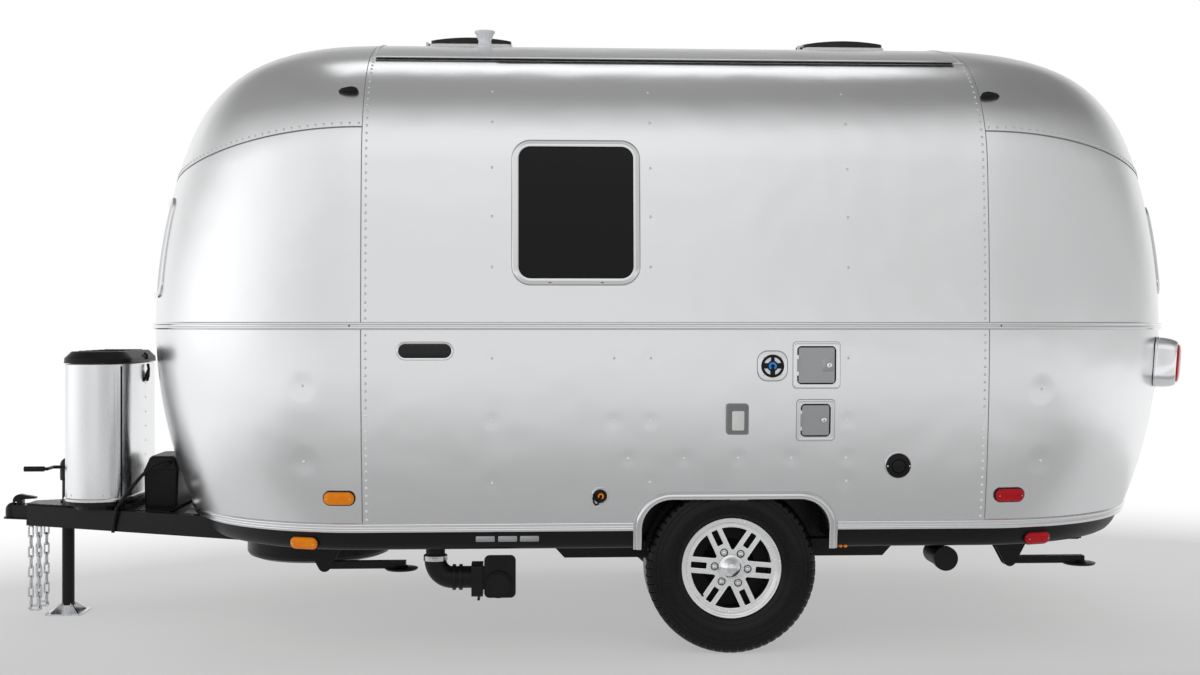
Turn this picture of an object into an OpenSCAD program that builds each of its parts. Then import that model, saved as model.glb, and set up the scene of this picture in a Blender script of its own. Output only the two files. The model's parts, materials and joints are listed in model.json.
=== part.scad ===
// Riveted aluminium travel caravan, single axle, parked on its tongue jack.
// Millimetres. +X points to the rear, -Y is the road side, +Z is up.
// The origin is on the ground, under the middle of the whole length.

/* [Body shell] */
// width of the shell at the belt line
body_w = 2286; // [2270:2:2300]
// length of the straight middle section between the two end caps
mid_len = 2578; // [2560:2:2620]
// length of the front end cap
cap_front = 1072; // [1050:2:1100]
// length of the rear end cap
cap_rear = 1117; // [1100:2:1140]
// height of the roof crown above the ground
roof_z = 2690; // [2670:2:2710]
// height of the belt line above the ground
belt_z = 1374; // [1366:2:1382]
// thickness of the whole wall, skin to lining
wall_t = 45; // [40:1:50]
// height of the panel seam on a cap, as a share of the way from the belt to the crown
seam_share = 0.62; // [0.58:0.01:0.66]
// drop of that seam from the side to the nose
seam_drop = 160; // [120:5:180]

/* [Running gear] */
// outer diameter of a tyre
tyre_d = 718; // [700:2:722]
// width of a tyre
tyre_w = 223; // [215:1:228]
// distance from the side of the shell to the centre plane of a tyre
tyre_in = 211.5; // [206:0.5:216]
// distance from the front seam to the axle
axle_back = 1525; // [1500:1:1550]
// radius of the rim flange
rim_r = 210; // [206:1:212]

/* [Openings] */
// width of the road-side window frame
win_w = 522; // [500:2:540]
// height of the window sills above the belt line
win_sill = 166; // [150:1:180]
// distance from the top of the side windows up to the roof gutter
win_head = 386; // [370:1:400]
// width of the entry door
door_w = 660; // [640:2:680]
// distance from the top of the entry door up to the roof gutter
door_head = 260; // [240:1:280]
// top of the wheel arch opening above the ground
arch_z = 655; // [650:1:665]

/* [Tongue] */
// distance from the nose of the shell to the coupler tip
tongue_len = 755; // [750:1:765]
// radius of the hitch ball
ball_r = 25.4; // [25:0.1:25.4]
// width of the gas bottle cover across the tongue
cover_w = 686; // [670:2:690]
// height of the gas bottle cover without its lid
cover_h = 630; // [620:2:640]

/* [Hidden] */
$fn = 48;
fit = 0.3;
trim_d = 15;
wall_z0 = 530;
floor_z = 547;
frame_z = 428;
bar_top = 523;

overall_len = tongue_len + cap_front + mid_len + cap_rear + trim_d;
tip_x = -overall_len / 2;
nose_x = tip_x + tongue_len;
seam_f = nose_x + cap_front;
seam_r = seam_f + mid_len;
tail_x = seam_r + cap_rear;
axle_x = seam_f + axle_back;
axle_z = tyre_d / 2;
half_w = body_w / 2;
track = body_w - 2 * tyre_in;

// lower side, upper side, shoulder and crown radius of the cross-section
side_arcs = [5100, 8500, 570, 1970];
// the same four radii of the end profile on the centre line
end_arcs = [2000, 2270, 670, 2095];

rail_y = track / 2 - 241.5;
rail_w = 50;
web_t = 6;
bar_w = 60;
apex_y = 45;
tongue_a = 25;
apex_x = tip_x + 148;
tongue_end = apex_x + (rail_y - apex_y) / tan(tongue_a);
rail_end = tail_x - 560;
jack_x = tip_x + 302;
cover_x = tip_x + 505;
cover_z = 565;
cover_r = 150;
bottle_r = cover_r - 12;

arch_half = 390;
arch_mid = axle_x + 10;
arch_r = 122;

// the gutter where the roof panel meets the side walls
rail_split = roof_z - 170;
seam_z = belt_z + seam_share * (roof_z - belt_z);

win_x = axle_x - 655;
win_z0 = belt_z + win_sill;
win_h = rail_split - win_head - win_z0;
win_z = win_z0 + win_h / 2;
curb_win = [axle_x - 150, seam_r - 303];
curb_win_x = (curb_win[0] + curb_win[1]) / 2;
curb_win_w = curb_win[1] - curb_win[0];

door_x = seam_f + 140;
door_z = 600;
door_h = rail_split - door_head - door_z;
door_r = 90;
door_gap = 8;
hinge_x = door_x - 4;
hinge_y = half_w + trim_d + 9;
leaf_y = half_w - 143;

vent_xs = [seam_f + 405, seam_r - 393];
vent_w = 390;

seg = 6;

function root0(x) = sqrt(max(x, 0));

// centre of the shoulder arc that touches the upper side arc and the crown arc
function shoulder(w, r) =
    let(c1 = [w - r[1], belt_z], c2 = [0, roof_z - r[3]])
    let(d1 = r[1] - r[2], d2 = r[3] - r[2], d = norm(c2 - c1), e = (c2 - c1) / d)
    let(a = (d1 * d1 - d2 * d2 + d * d) / (2 * d))
    c1 + a * e + root0(d1 * d1 - a * a) * [-e[1], e[0]];

q_side = shoulder(half_w, side_arcs);
q_front = shoulder(cap_front, end_arcs);
q_rear = shoulder(cap_rear, end_arcs);

// half width of a profile at height z, moved outward by o
function half(z, o, w, r, q) =
    let(c1 = [w - r[1], belt_z], zc = roof_z - r[3])
    let(z1 = q[1] + (q[1] - c1[1]) / norm(q - c1) * (r[2] + o))
    let(z2 = q[1] + (q[1] - zc) / norm(q - [0, zc]) * (r[2] + o))
    z <= belt_z ? w - r[0] + root0(pow(r[0] + o, 2) - pow(z - belt_z, 2)) :
    z <= z1 ? w - r[1] + root0(pow(r[1] + o, 2) - pow(z - belt_z, 2)) :
    z <= z2 ? q[0] + root0(pow(r[2] + o, 2) - pow(z - q[1], 2)) :
    root0(pow(r[3] + o, 2) - pow(z - zc, 2));

function side_y(z, o) = half(z, o, half_w, side_arcs, q_side);
function end_x(z, o, rear) =
    rear ? half(z, o, cap_rear, end_arcs, q_rear) : half(z, o, cap_front, end_arcs, q_front);

// a station on the plan: x where it starts, end share, side share, rear or not
function station(u, rear) = [rear ? seam_r : seam_f, (rear ? 1 : -1) * sin(u), -cos(u), rear];
function cap_run(rear, a, b, n) =
    [for (i = [0 : n]) station(rear ? a + (b - a) * i / n : b - (b - a) * i / n, rear)];
// a point of the shell at a station, height z, moved outward by o
function skin(s, z, o) = [s[0] + s[1] * end_x(z, o, s[3]), s[2] * side_y(z, o), z];
function side_run(x0, x1, left) = [for (x = left ? [x0, x1] : [x1, x0]) [x, 0, left ? -1 : 1, false]];

function steps(a, b, n) = [for (i = [0 : n]) a + (b - a) * i / n];
function turn(list) = [for (i = [len(list) - 1 : -1 : 0]) list[i]];

side_zs = concat(steps(wall_z0, belt_z, 7), steps(belt_z + 110, rail_split, 14));

// an arc of n steps
function arc(r, a0, a1, n, c = [0, 0]) =
    [for (i = [0 : n]) let(a = a0 + (a1 - a0) * i / n) c + r * [cos(a), sin(a)]];

function lens_pts(w, h, r) =
    [for (c = [[1, 1, 0], [-1, 1, 90], [-1, -1, 180], [1, -1, 270]], i = [0 : seg])
        [c[0] * (w / 2 - r) + r * cos(c[2] + 90 * i / seg), c[1] * (h / 2 - r) + r * sin(c[2] + 90 * i / seg)]];

module rounded(w, h, r) {
    polygon(lens_pts(w, h, min(r, w / 2 - 1, h / 2 - 1)));
}

module ring(w, h, r, t) {
    difference() {
        rounded(w, h, r);
        rounded(w - 2 * t, h - 2 * t, max(r - t, 4));
    }
}

// closed band through stations: each row is an outer chain up and an inner chain down
module band(rows) {
    n = len(rows);
    m = len(rows[0]);
    last = (n - 1) * m;
    polyhedron(
        points = [for (r = rows) each r],
        faces = concat(
            [for (i = [0 : n - 2], j = [0 : m - 1])
                let(a = i * m + j, b = i * m + (j + 1) % m)
                each [[a, b, b + m], [a, b + m, a + m]]],
            [for (j = [0 : m / 2 - 2])
                each [[j, m - 1 - j, m - 2 - j], [j, m - 2 - j, j + 1]]],
            [for (j = [0 : m / 2 - 2])
                each [[last + j, last + j + 1, last + m - 2 - j], [last + j, last + m - 2 - j, last + m - 1 - j]]]
        )
    );
}

// band of one section, given as an outer and an inner chain of [offset, height]
module trim_band(run, outer, inner) {
    band([for (s = run) concat([for (p = outer) skin(s, p[1], p[0])], [for (p = turn(inner)) skin(s, p[1], p[0])])]);
}

// prism of the shell section between two offsets along the middle section
module slab(x0, x1, zs, out, in) {
    translate([x0, 0, 0])
        rotate([90, 0, 90])
            linear_extrude(x1 - x0)
                polygon(concat([for (z = zs) [side_y(z, out), z]], [for (z = turn(zs)) [side_y(z, in), z]]));
}

function lean(z) = atan2(side_y(z - 5, 0) - side_y(z + 5, 0), 10);

// local x along the wall, y up the wall, z outward, on the road side or the kerb side
module on_side(x, z, left = true, o = fit) {
    a = lean(z);
    translate([x, (left ? -1 : 1) * (side_y(z, 0) + o * cos(a)), z + o * sin(a)])
        rotate([90 - a, 0, left ? 0 : 180])
            children();
}

// the same on a cap, with the normal taken from the shell
module on_cap(u, rear, z, o = fit) {
    p = skin(station(u, rear), z, 0);
    along = skin(station(u + 0.5, rear), z, 0) - skin(station(u - 0.5, rear), z, 0);
    up = skin(station(u, rear), z + 5, 0) - skin(station(u, rear), z - 5, 0);
    e = (rear ? 1 : -1) * along / norm(along);
    n0 = cross(e, up);
    n = n0 / norm(n0);
    v = cross(n, e);
    multmatrix([
        [e[0], v[0], n[0], p[0] + o * n[0]],
        [e[1], v[1], n[1], p[1] + o * n[1]],
        [e[2], v[2], n[2], p[2] + o * n[2]],
        [0, 0, 0, 1]])
        children();
}

module kerb() {
    mirror([0, 1, 0]) children();
}

// plan of the shell at one height and offset
function plan(z, o, n) = concat(
    [for (s = cap_run(true, 0, 180, n)) let(p = skin(s, z, o)) [p[0], p[1]]],
    [for (s = cap_run(false, 0, 180, n)) let(p = skin(s, z, o)) [p[0], p[1]]]);

module arch_shape(g) {
    h = arch_z + g - 300;
    translate([arch_mid, 300 + h / 2])
        polygon(concat(
            [for (p = lens_pts(2 * (arch_half + g), h, arch_r - 32 + g)) if (p[1] > 0) p],
            [[-arch_half - g, -h / 2], [arch_half + g, -h / 2]]));
}

module arch_cut(g) {
    translate([0, 1400, 0])
        rotate([90, 0, 0])
            linear_extrude(2800)
                arch_shape(g);
}

// swept space of the entry door, grown by g
module door_zone(g) {
    h = door_h + 2 * g;
    r = door_r + g;
    intersection() {
        translate([hinge_x, hinge_y, door_z - g])
            rotate_extrude($fn = 180)
                polygon(concat(
                    [[0, 0]],
                    [for (i = [0 : seg]) [door_w + 4 + g - r + r * sin(90 * i / seg), r - r * cos(90 * i / seg)]],
                    [for (i = [0 : seg]) [door_w + 4 + g - r + r * cos(90 * i / seg), h - r + r * sin(90 * i / seg)]],
                    [[0, h]]));
        translate([door_x - g + door_w, 1600, door_z + door_h / 2])
            rotate([90, 0, 0])
                linear_extrude(1000)
                    rounded(2 * door_w, h, r);
    }
}

hatches = [
    // middle x, middle z, width, height
    [axle_x + 334, 1212, 194, 190],
    [axle_x + 332, 985, 157, 169]
];

module hatch_hole(h) {
    on_side(h[0], h[1])
        translate([0, 0, -70])
            linear_extrude(140)
                rounded(h[2] - 12, h[3] - 12, 10);
}

// shell panels

module side_wall_left() {
    color([0.8, 0.82, 0.84])
        difference() {
            kerb() slab(seam_f, seam_r, side_zs, 0, -wall_t);
            on_side(win_x, win_z)
                translate([0, 0, -90])
                    linear_extrude(160)
                        rounded(win_w - 24, win_h - 24, 64);
            for (h = hatches)
                hatch_hole(h);
            arch_cut(12);
        }
}

module side_wall_right() {
    color([0.8, 0.82, 0.84])
        difference() {
            slab(seam_f, seam_r, side_zs, 0, -wall_t);
            on_side(curb_win_x, win_z, false)
                translate([0, 0, -90])
                    linear_extrude(160)
                        rounded(curb_win_w - 24, win_h - 24, 64);
            door_zone(door_gap);
            arch_cut(12);
        }
}

module roof_panel() {
    zs = [for (i = [0 : 11]) rail_split + (roof_z - rail_split) * sin(90 * i / 12)];
    outer = concat([for (z = zs) [side_y(z, 0), z]], [[0, roof_z]], [for (z = turn(zs)) [-side_y(z, 0), z]]);
    low = [for (i = [0 : 11]) rail_split + (roof_z - wall_t - rail_split) * sin(90 * i / 12)];
    inner = concat(
        [for (z = low) [-side_y(z, -wall_t), z]],
        [[0, roof_z - wall_t]],
        [for (z = turn(low)) [side_y(z, -wall_t), z]]);
    color([0.8, 0.82, 0.84])
        difference() {
            translate([seam_f, 0, 0])
                rotate([90, 0, 90])
                    linear_extrude(mid_len)
                        polygon(concat(outer, inner));
            for (x = vent_xs)
                translate([x, 0, roof_z - 100])
                    linear_extrude(200)
                        rounded(vent_w - 60, vent_w - 60, 20);
        }
}

function cap_seam(s) = seam_z - seam_drop * s[1] * s[1];

module cap_lower(rear, n = 26) {
    band([for (s = cap_run(rear, 0, 180, n))
        let(top = cap_seam(s) - 3 * fit)
        let(zs = concat(steps(wall_z0, belt_z, 6), steps(belt_z + (top - belt_z) / 5, top, 4)))
        concat([for (z = zs) skin(s, z, 0)], [for (z = turn(zs)) skin(s, z, -wall_t)])]);
}

module cap_dome(rear, n = 26, k = 9) {
    run = cap_run(rear, 0, 180, n);
    m = 2 * k;
    share = [for (j = [0 : k - 1]) sin(90 * j / k)];
    pts = [for (s = run)
        let(z0 = cap_seam(s))
        each concat(
            [for (f = share) skin(s, z0 + (roof_z - z0) * f, 0)],
            [for (f = turn(share)) skin(s, z0 + (roof_z - wall_t - z0) * f, -wall_t)])];
    x = rear ? seam_r : seam_f;
    top = (n + 1) * m;
    last = n * m;
    polyhedron(
        points = concat(pts, [[x, 0, roof_z], [x, 0, roof_z - wall_t]]),
        faces = concat(
            [for (i = [0 : n - 1], j = [0 : m - 1]) if (j != k - 1)
                let(a = i * m + j, b = i * m + (j + 1) % m)
                each [[a, b, b + m], [a, b + m, a + m]]],
            [for (i = [0 : n - 1])
                let(a = i * m + k - 1)
                each [[a, top, a + m], [top + 1, a + 1, a + 1 + m]]],
            [for (j = [0 : k - 2])
                each [[j, m - 1 - j, m - 2 - j], [j, m - 2 - j, j + 1]]],
            [for (j = [0 : k - 2])
                each [[last + j, last + j + 1, last + m - 2 - j], [last + j, last + m - 2 - j, last + m - 1 - j]]],
            [[k - 1, k, top + 1], [k - 1, top + 1, top]],
            [[last + k - 1, top, top + 1], [last + k - 1, top + 1, last + k]]
        )
    );
}

end_windows = [
    // rear or not, width across, bottom z, top z
    [false, 1040, belt_z + 126, seam_z - seam_drop - 80],
    [true, 960, belt_z + 146, seam_z - seam_drop - 100]
];

module end_window_prism(e, grow) {
    translate([e[0] ? seam_r + 200 : seam_f - 200, 0, (e[2] + e[3]) / 2])
        rotate([90, 0, e[0] ? 90 : -90])
            linear_extrude(1400)
                rounded(e[1] + 2 * grow, e[3] - e[2] + 2 * grow, 70 + grow);
}

module front_cap_lower() {
    color([0.8, 0.82, 0.84])
        difference() {
            cap_lower(false);
            end_window_prism(end_windows[0], -12);
        }
}

module front_cap_dome() {
    color([0.8, 0.82, 0.84]) cap_dome(false);
}

module rear_cap_lower() {
    color([0.8, 0.82, 0.84])
        difference() {
            cap_lower(true);
            end_window_prism(end_windows[1], -12);
        }
}

module rear_cap_dome() {
    color([0.8, 0.82, 0.84]) cap_dome(true);
}

// floor and lower body

well_y = track / 2 - 156.5;
well_top = tyre_d + 67;
well_half = 425;

module floor_deck() {
    color([0.35, 0.3, 0.24])
        translate([0, 0, floor_z])
            linear_extrude(28)
                difference() {
                    polygon(plan(floor_z, -wall_t - 3 * fit, 26));
                    for (y = [-1, 1])
                        translate([axle_x, y * (well_y + 300)])
                            square([2 * well_half + 1, 600 + 1], center = true);
                }
}

module wheel_wells() {
    color([0.06, 0.06, 0.065])
        for (side = [-1, 1])
            scale([1, side, 1])
                difference() {
                    translate([axle_x - well_half, well_y, floor_z - 70])
                        cube([2 * well_half, side_y(floor_z - 70, -wall_t) - fit - well_y, well_top - floor_z + 70]);
                    translate([axle_x - well_half + 4, well_y + 4, floor_z - 80])
                        cube([2 * well_half - 8, 600, well_top - floor_z + 76]);
                }
}

// trims on the shell

arch_gap = arch_half + 36 + fit;

function cap_mid(rear) = [for (s = cap_run(rear, 0, 180, 26)) if (abs(s[1]) > 0.01) s];

skirt_out = [[-9, wall_z0 - fit], [-11, 480], [-20, 458], [-44, 447]];
skirt_in = [[-21, wall_z0 - fit], [-23, 484], [-31, 464], [-52, 453]];

module skirt() {
    x0 = arch_mid - arch_gap;
    x1 = arch_mid + arch_gap;
    color([0.05, 0.05, 0.055]) {
        trim_band(concat(side_run(x1, seam_r, true), cap_mid(true), side_run(x1, seam_r, false)), skirt_out, skirt_in);
        trim_band(concat([for (s = cap_mid(false)) if (s[2] < -0.5) s], side_run(seam_f, x0, true)), skirt_out, skirt_in);
        trim_band(concat(side_run(seam_f, x0, false), [for (s = cap_mid(false)) if (s[2] > 0.5) s]), skirt_out, skirt_in);
    }
}

belt_out = [for (p = [[0.2, -17], [9, -16], [trim_d, -9], [trim_d, 9], [9, 16]]) [p[0], belt_z + p[1]]];
belt_in = [for (z = [-17, -8, 0, 8, 16.5]) [0.2, belt_z + z - (z == -17 ? -0.5 : 0)]];

module belt_trim() {
    color([0.82, 0.84, 0.86])
        trim_band(concat(
            side_run(seam_f, door_x - door_gap, false),
            cap_mid(false),
            side_run(seam_f, seam_r, true),
            cap_mid(true),
            side_run(door_x + door_w + door_gap, seam_r, false)), belt_out, belt_in);
}

rub_out = [[0.2, 524], [8, 526], [8, 541], [3, 545], [8, 549], [8, 562], [2, 566]];
rub_in = [[0.2, 525], [0.2, 531], [0.2, 540], [0.2, 545], [0.2, 550], [0.2, 558], [0.2, 565]];

module rub_rail() {
    x0 = arch_mid - arch_gap;
    x1 = arch_mid + arch_gap;
    color([0.8, 0.82, 0.84]) {
        trim_band(concat(side_run(seam_f, x0, false), cap_mid(false), side_run(seam_f, x0, true)), rub_out, rub_in);
        trim_band(concat(side_run(x1, seam_r, true), cap_mid(true), side_run(x1, seam_r, false)), rub_out, rub_in);
    }
}

module arch_trims() {
    zs = concat([447], side_zs);
    color([0.82, 0.84, 0.86])
        for (side = [-1, 1])
            scale([1, side, 1])
                intersection() {
                    slab(arch_mid - 500, arch_mid + 500, zs, 14, fit);
                    difference() {
                        arch_cut(36);
                        arch_cut(0);
                    }
                }
}

module awning_rails() {
    color([0.84, 0.85, 0.86])
        for (side = [-1, 1])
            scale([1, side, 1])
                slab(seam_f + 25, seam_r - 53, [rail_split - 14, rail_split, rail_split + 14], 14, fit);
}

// windows that follow the side wall

module side_pane(x, z, w, h, r, left, out, in) {
    intersection() {
        scale([1, left ? -1 : 1, 1])
            slab(x - w / 2 - 1, x + w / 2 + 1, side_zs, out, in);
        on_side(x, z, left)
            translate([0, 0, -120])
                linear_extrude(240)
                    children();
    }
}

module side_frame(x, z, w, h, r, left) {
    side_pane(x, z, w, h, r, left, 12, fit) ring(w, h, r, 28);
    side_pane(x, z, w, h, r, left, fit, -wall_t) ring(w - 24 - 2 * fit, h - 24 - 2 * fit, r - 12 - fit, 16 - fit);
}

module side_glass(x, z, w, h, r, left) {
    side_pane(x, z, w, h, r, left, 2, -4) rounded(w - 56 - 2 * fit, h - 56 - 2 * fit, r - 28);
}

// part of a cap above the belt between two offsets
module cap_patch(rear, out, in) {
    band([for (s = cap_run(rear, 0, 180, 26)) if (abs(s[2]) < 0.72)
        let(top = cap_seam(s) - fit)
        let(zs = concat([belt_z], steps(belt_z + (top - belt_z) / 5, top, 4)))
        concat([for (z = zs) skin(s, z, out)], [for (z = turn(zs)) skin(s, z, in)])]);
}

module end_frame(e) {
    difference() {
        union() {
            intersection() {
                cap_patch(e[0], 12, fit);
                end_window_prism(e, 0);
            }
            intersection() {
                cap_patch(e[0], 6, -wall_t);
                end_window_prism(e, -12 - fit);
            }
        }
        end_window_prism(e, -28);
    }
}

module window_frames() {
    color([0.75, 0.77, 0.79]) {
        side_frame(win_x, win_z, win_w, win_h, 76, true);
        side_frame(curb_win_x, win_z, curb_win_w, win_h, 76, false);
        for (e = end_windows)
            end_frame(e);
    }
}

module window_glass() {
    color([0.02, 0.02, 0.025]) {
        side_glass(win_x, win_z, win_w, win_h, 76, true);
        side_glass(curb_win_x, win_z, curb_win_w, win_h, 76, false);
        for (e = end_windows)
            intersection() {
                cap_patch(e[0], 2, -4);
                end_window_prism(e, -28 - fit);
            }
    }
}

// entry door

door_win_z = [belt_z + 156, door_z + door_h - 150];
door_win = [door_x + door_w / 2, (door_win_z[0] + door_win_z[1]) / 2, door_w - 260, door_win_z[1] - door_win_z[0]];
hinge_zs = [door_z + 190, belt_z - 84, door_z + door_h - 310];

module door_slab(out, in) {
    slab(door_x - 20, door_x + door_w + 40, side_zs, out, in);
}

module entry_door() {
    color([0.8, 0.82, 0.84])
        difference() {
            intersection() {
                door_slab(0, -wall_t);
                door_zone(0);
            }
            on_side(door_win[0], door_win[1], false)
                translate([0, 0, -120])
                    linear_extrude(240)
                        rounded(door_win[2] - 24, door_win[3] - 24, 50);
        }
}

module door_trim() {
    color([0.82, 0.84, 0.86]) {
        side_frame(door_win[0], door_win[1], door_win[2], door_win[3], 62, false);
        intersection() {
            slab(door_x, door_x + door_w, [belt_z - 17, belt_z, belt_z + 17], trim_d, fit);
            door_zone(0);
        }
        for (z = hinge_zs)
            difference() {
                union() {
                    translate([hinge_x, hinge_y, z - 11.5])
                        cylinder(r = 9, h = 23);
                    translate([hinge_x, leaf_y, z - 11.5])
                        cube([44, hinge_y - leaf_y, 23]);
                }
                slab(hinge_x - 100, hinge_x + 200, side_zs, fit, -300);
                translate([hinge_x, hinge_y, z - 20])
                    cylinder(r = 4.05, h = 40);
            }
    }
}

module door_hinges() {
    color([0.6, 0.62, 0.64])
        for (z = hinge_zs)
            difference() {
                union() {
                    for (k = [-1, 1]) {
                        translate([hinge_x, hinge_y, z + k * 24 - 12])
                            cylinder(r = 9, h = 24);
                        translate([hinge_x - 44, leaf_y, z + k * 24 - 12])
                            cube([44, hinge_y - leaf_y, 24]);
                    }
                    translate([hinge_x, hinge_y, z - 36])
                        cylinder(r = 4, h = 72);
                }
                slab(hinge_x - 100, hinge_x + 200, side_zs, fit, -300);
            }
}

module door_glass() {
    color([0.02, 0.02, 0.025])
        side_glass(door_win[0], door_win[1], door_win[2], door_win[3], 62, false);
}

module door_handle() {
    color([0.06, 0.06, 0.065])
        on_side(door_x + door_w - 75, 1200, false) {
            linear_extrude(8)
                rounded(80, 150, 16);
            translate([0, 0, 8])
                linear_extrude(16)
                    rounded(28, 110, 12);
        }
}

module entry_step() {
    x = door_x + door_w / 2;
    y0 = rail_y + rail_w / 2 + fit + 60;
    color([0.1, 0.1, 0.105]) {
        translate([x, y0 + 60, 330])
            linear_extrude(30)
                rounded(door_w - 80, 250, 18);
        for (k = [-1, 1])
            translate([x + k * (door_w / 2 - 60) - 10, y0, 0])
                rotate([90, 0, 90])
                    linear_extrude(20)
                        polygon([[-40, 335], [60, 335], [60, floor_z - 60], [20, floor_z - fit], [-60, floor_z - fit],
                            [-60, floor_z - 40], [-40, floor_z - 80]]);
    }
}

// service hatches, hinged on their forward edge

module hatch_frames() {
    color([0.72, 0.74, 0.76])
        for (h = hatches)
            on_side(h[0], h[1]) {
                linear_extrude(5)
                    ring(h[2], h[3], 14, 16);
                translate([0, 0, -38])
                    linear_extrude(38)
                        ring(h[2] - 12 - 2 * fit, h[3] - 12 - 2 * fit, 10, 10 - fit);
                translate([0, 0, -41])
                    linear_extrude(3)
                        rounded(h[2] - 12 - 2 * fit, h[3] - 12 - 2 * fit, 10);
                for (k = [-1, 1])
                    translate([-h[2] / 2 + 19.25, k * 34, 7]) {
                        rotate([90, 0, 0])
                            cylinder(r = 3.2, h = 16, center = true);
                        translate([-6, -8, -4.5])
                            cube([6, 16, 6]);
                    }
                translate([-h[2] / 2 + 19.25, 0, 7])
                    rotate([90, 0, 0])
                        cylinder(r = 1.5, h = 84, center = true);
            }
}

module hatch_door(h) {
    color([0.78, 0.8, 0.82])
        on_side(h[0], h[1]) {
            translate([0, 0, -2])
                linear_extrude(6)
                    rounded(h[2] - 45, h[3] - 45, 9);
            difference() {
                translate([-h[2] / 2 + 19.25, 0, 7])
                    union() {
                        rotate([90, 0, 0])
                            cylinder(r = 3.2, h = 50, center = true);
                        translate([0, -25, -3.2])
                            cube([9, 50, 3.2]);
                    }
                translate([-h[2] / 2 + 19.25, 0, 7])
                    rotate([90, 0, 0])
                        cylinder(r = 1.55, h = 90, center = true);
            }
            translate([h[2] / 2 - 44, 0, 4])
                cylinder(r = 9, h = 4);
        }
}

module hatch_door_upper() {
    hatch_door(hatches[0]);
}

module hatch_door_lower() {
    hatch_door(hatches[1]);
}

// fittings on the road side

module side_inlets() {
    color([0.09, 0.09, 0.1]) {
        on_side(axle_x + 151, 1209)
            difference() {
                linear_extrude(9)
                    rounded(123, 123, 22);
                translate([0, 0, 3])
                    cylinder(r = 40, h = 20);
            }
        on_side(seam_r - 373, 796)
            difference() {
                cylinder(r = 55.5, h = 24);
                translate([0, 0, 4])
                    cylinder(r = 30, h = 30);
            }
        on_side(axle_x - 555, 675)
            difference() {
                cylinder(r = 36.5, h = 10);
                translate([0, 0, 4])
                    cylinder(r = 25, h = 30);
            }
    }
}

module vent_box() {
    color([0.42, 0.43, 0.44])
        on_side(axle_x + 8, 991)
            linear_extrude(26)
                rounded(87, 123, 8);
}

pod_w = 160;
pod_h = 226;

module lamp(w, h, d, r) {
    linear_extrude(d)
        rounded(w, h, r);
}

module both_caps(u, rear, z, o = fit) {
    on_cap(u, rear, z, o) children();
    kerb() on_cap(u, rear, z, o) children();
}

module lamps_amber() {
    color([0.95, 0.45, 0.05]) {
        both_caps(5.8, false, 670) lamp(125, 53, 20, 18);
        both_caps(17, false, 478, -11.5) lamp(123, 50, 20, 18);
    }
}

module lamps_red() {
    color([0.7, 0.02, 0.02]) {
        both_caps(60, true, 1210, 92 - 0.7 + fit)
            stack([for (p = [[0, 0.76], [6, 0.7], [11, 0.52]])
                at(lens_pts(pod_w * p[1], pod_h * p[1], 54 * p[1]), p[0])]);
        both_caps(6, true, 668) lamp(125, 53, 20, 18);
        both_caps(16, true, 478, -10.7) lamp(123, 50, 20, 18);
    }
}

// low teardrop on a base, blunt toward +x
module drop_lamp(w, h, d, n = 14) {
    drop = [for (i = [0 : n - 1])
        let(a = 360 * i / n)
        [w / 2 * cos(a), h / 2 * sin(a) * (0.8 + 0.2 * cos(a))]];
    stack([at(drop, 0), at(drop, d * 0.35), at([for (p = drop) [p[0] * 0.82 + w * 0.06, p[1] * 0.8]], d * 0.75),
        at([for (p = drop) [p[0] * 0.4 + w * 0.14, p[1] * 0.4]], d)]);
}

module clearance_lamps() {
    color([0.07, 0.07, 0.075]) {
        both_caps(4.5, false, roof_z - 350, -1.5) drop_lamp(84, 36, 30);
        both_caps(3, true, roof_z - 350, -1.5) mirror([1, 0, 0]) drop_lamp(84, 36, 30);
    }
}

// housing of a tail lamp: foot in the shell, bulged side, flat seat for the lens
module tail_lamp_pods() {
    color([0.85, 0.86, 0.88])
        both_caps(60, true, 1210, -0.7)
            stack([for (p = [[0, 1], [30, 0.99], [62, 0.94], [84, 0.86], [92, 0.8]])
                at(lens_pts(pod_w * p[1], pod_h * p[1], 56 * p[1]), p[0])]);
}

// roof fittings

module roof_solid(o) {
    zs = [for (i = [0 : 11]) rail_split + (roof_z - rail_split) * sin(90 * i / 12)];
    outer = concat([for (z = zs) [side_y(z, o), z]], [[0, roof_z + o]], [for (z = turn(zs)) [-side_y(z, o), z]]);
    translate([seam_f, 0, 0])
        rotate([90, 0, 90])
            linear_extrude(mid_len)
                polygon(concat([[side_y(rail_split, o), rail_split - 220]], outer,
                    [[-side_y(rail_split, o), rail_split - 220]]));
}

lug_z = roof_z + 26;

module vent_bases() {
    color([0.12, 0.12, 0.125])
        for (x = vent_xs)
            difference() {
                union() {
                    translate([x, 0, roof_z - 30])
                        linear_extrude(44)
                            ring(vent_w, vent_w, 30, 28);
                    for (k = [-1, 1])
                        translate([x - vent_w / 2 - 14, k * 130 - 7, roof_z - 10])
                            cube([20, 14, 24]);
                    for (k = [-1, 1])
                        translate([x - vent_w / 2 - 14, k * 130 + 7, lug_z]) {
                            rotate([90, 0, 0])
                                cylinder(r = 7, h = 14);
                            translate([-6, -14, -20])
                                cube([12, 14, 20]);
                        }
                    translate([x - vent_w / 2 - 14, 137, lug_z])
                        rotate([90, 0, 0])
                            cylinder(r = 3, h = 274);
                }
                roof_solid(fit);
            }
}

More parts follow.
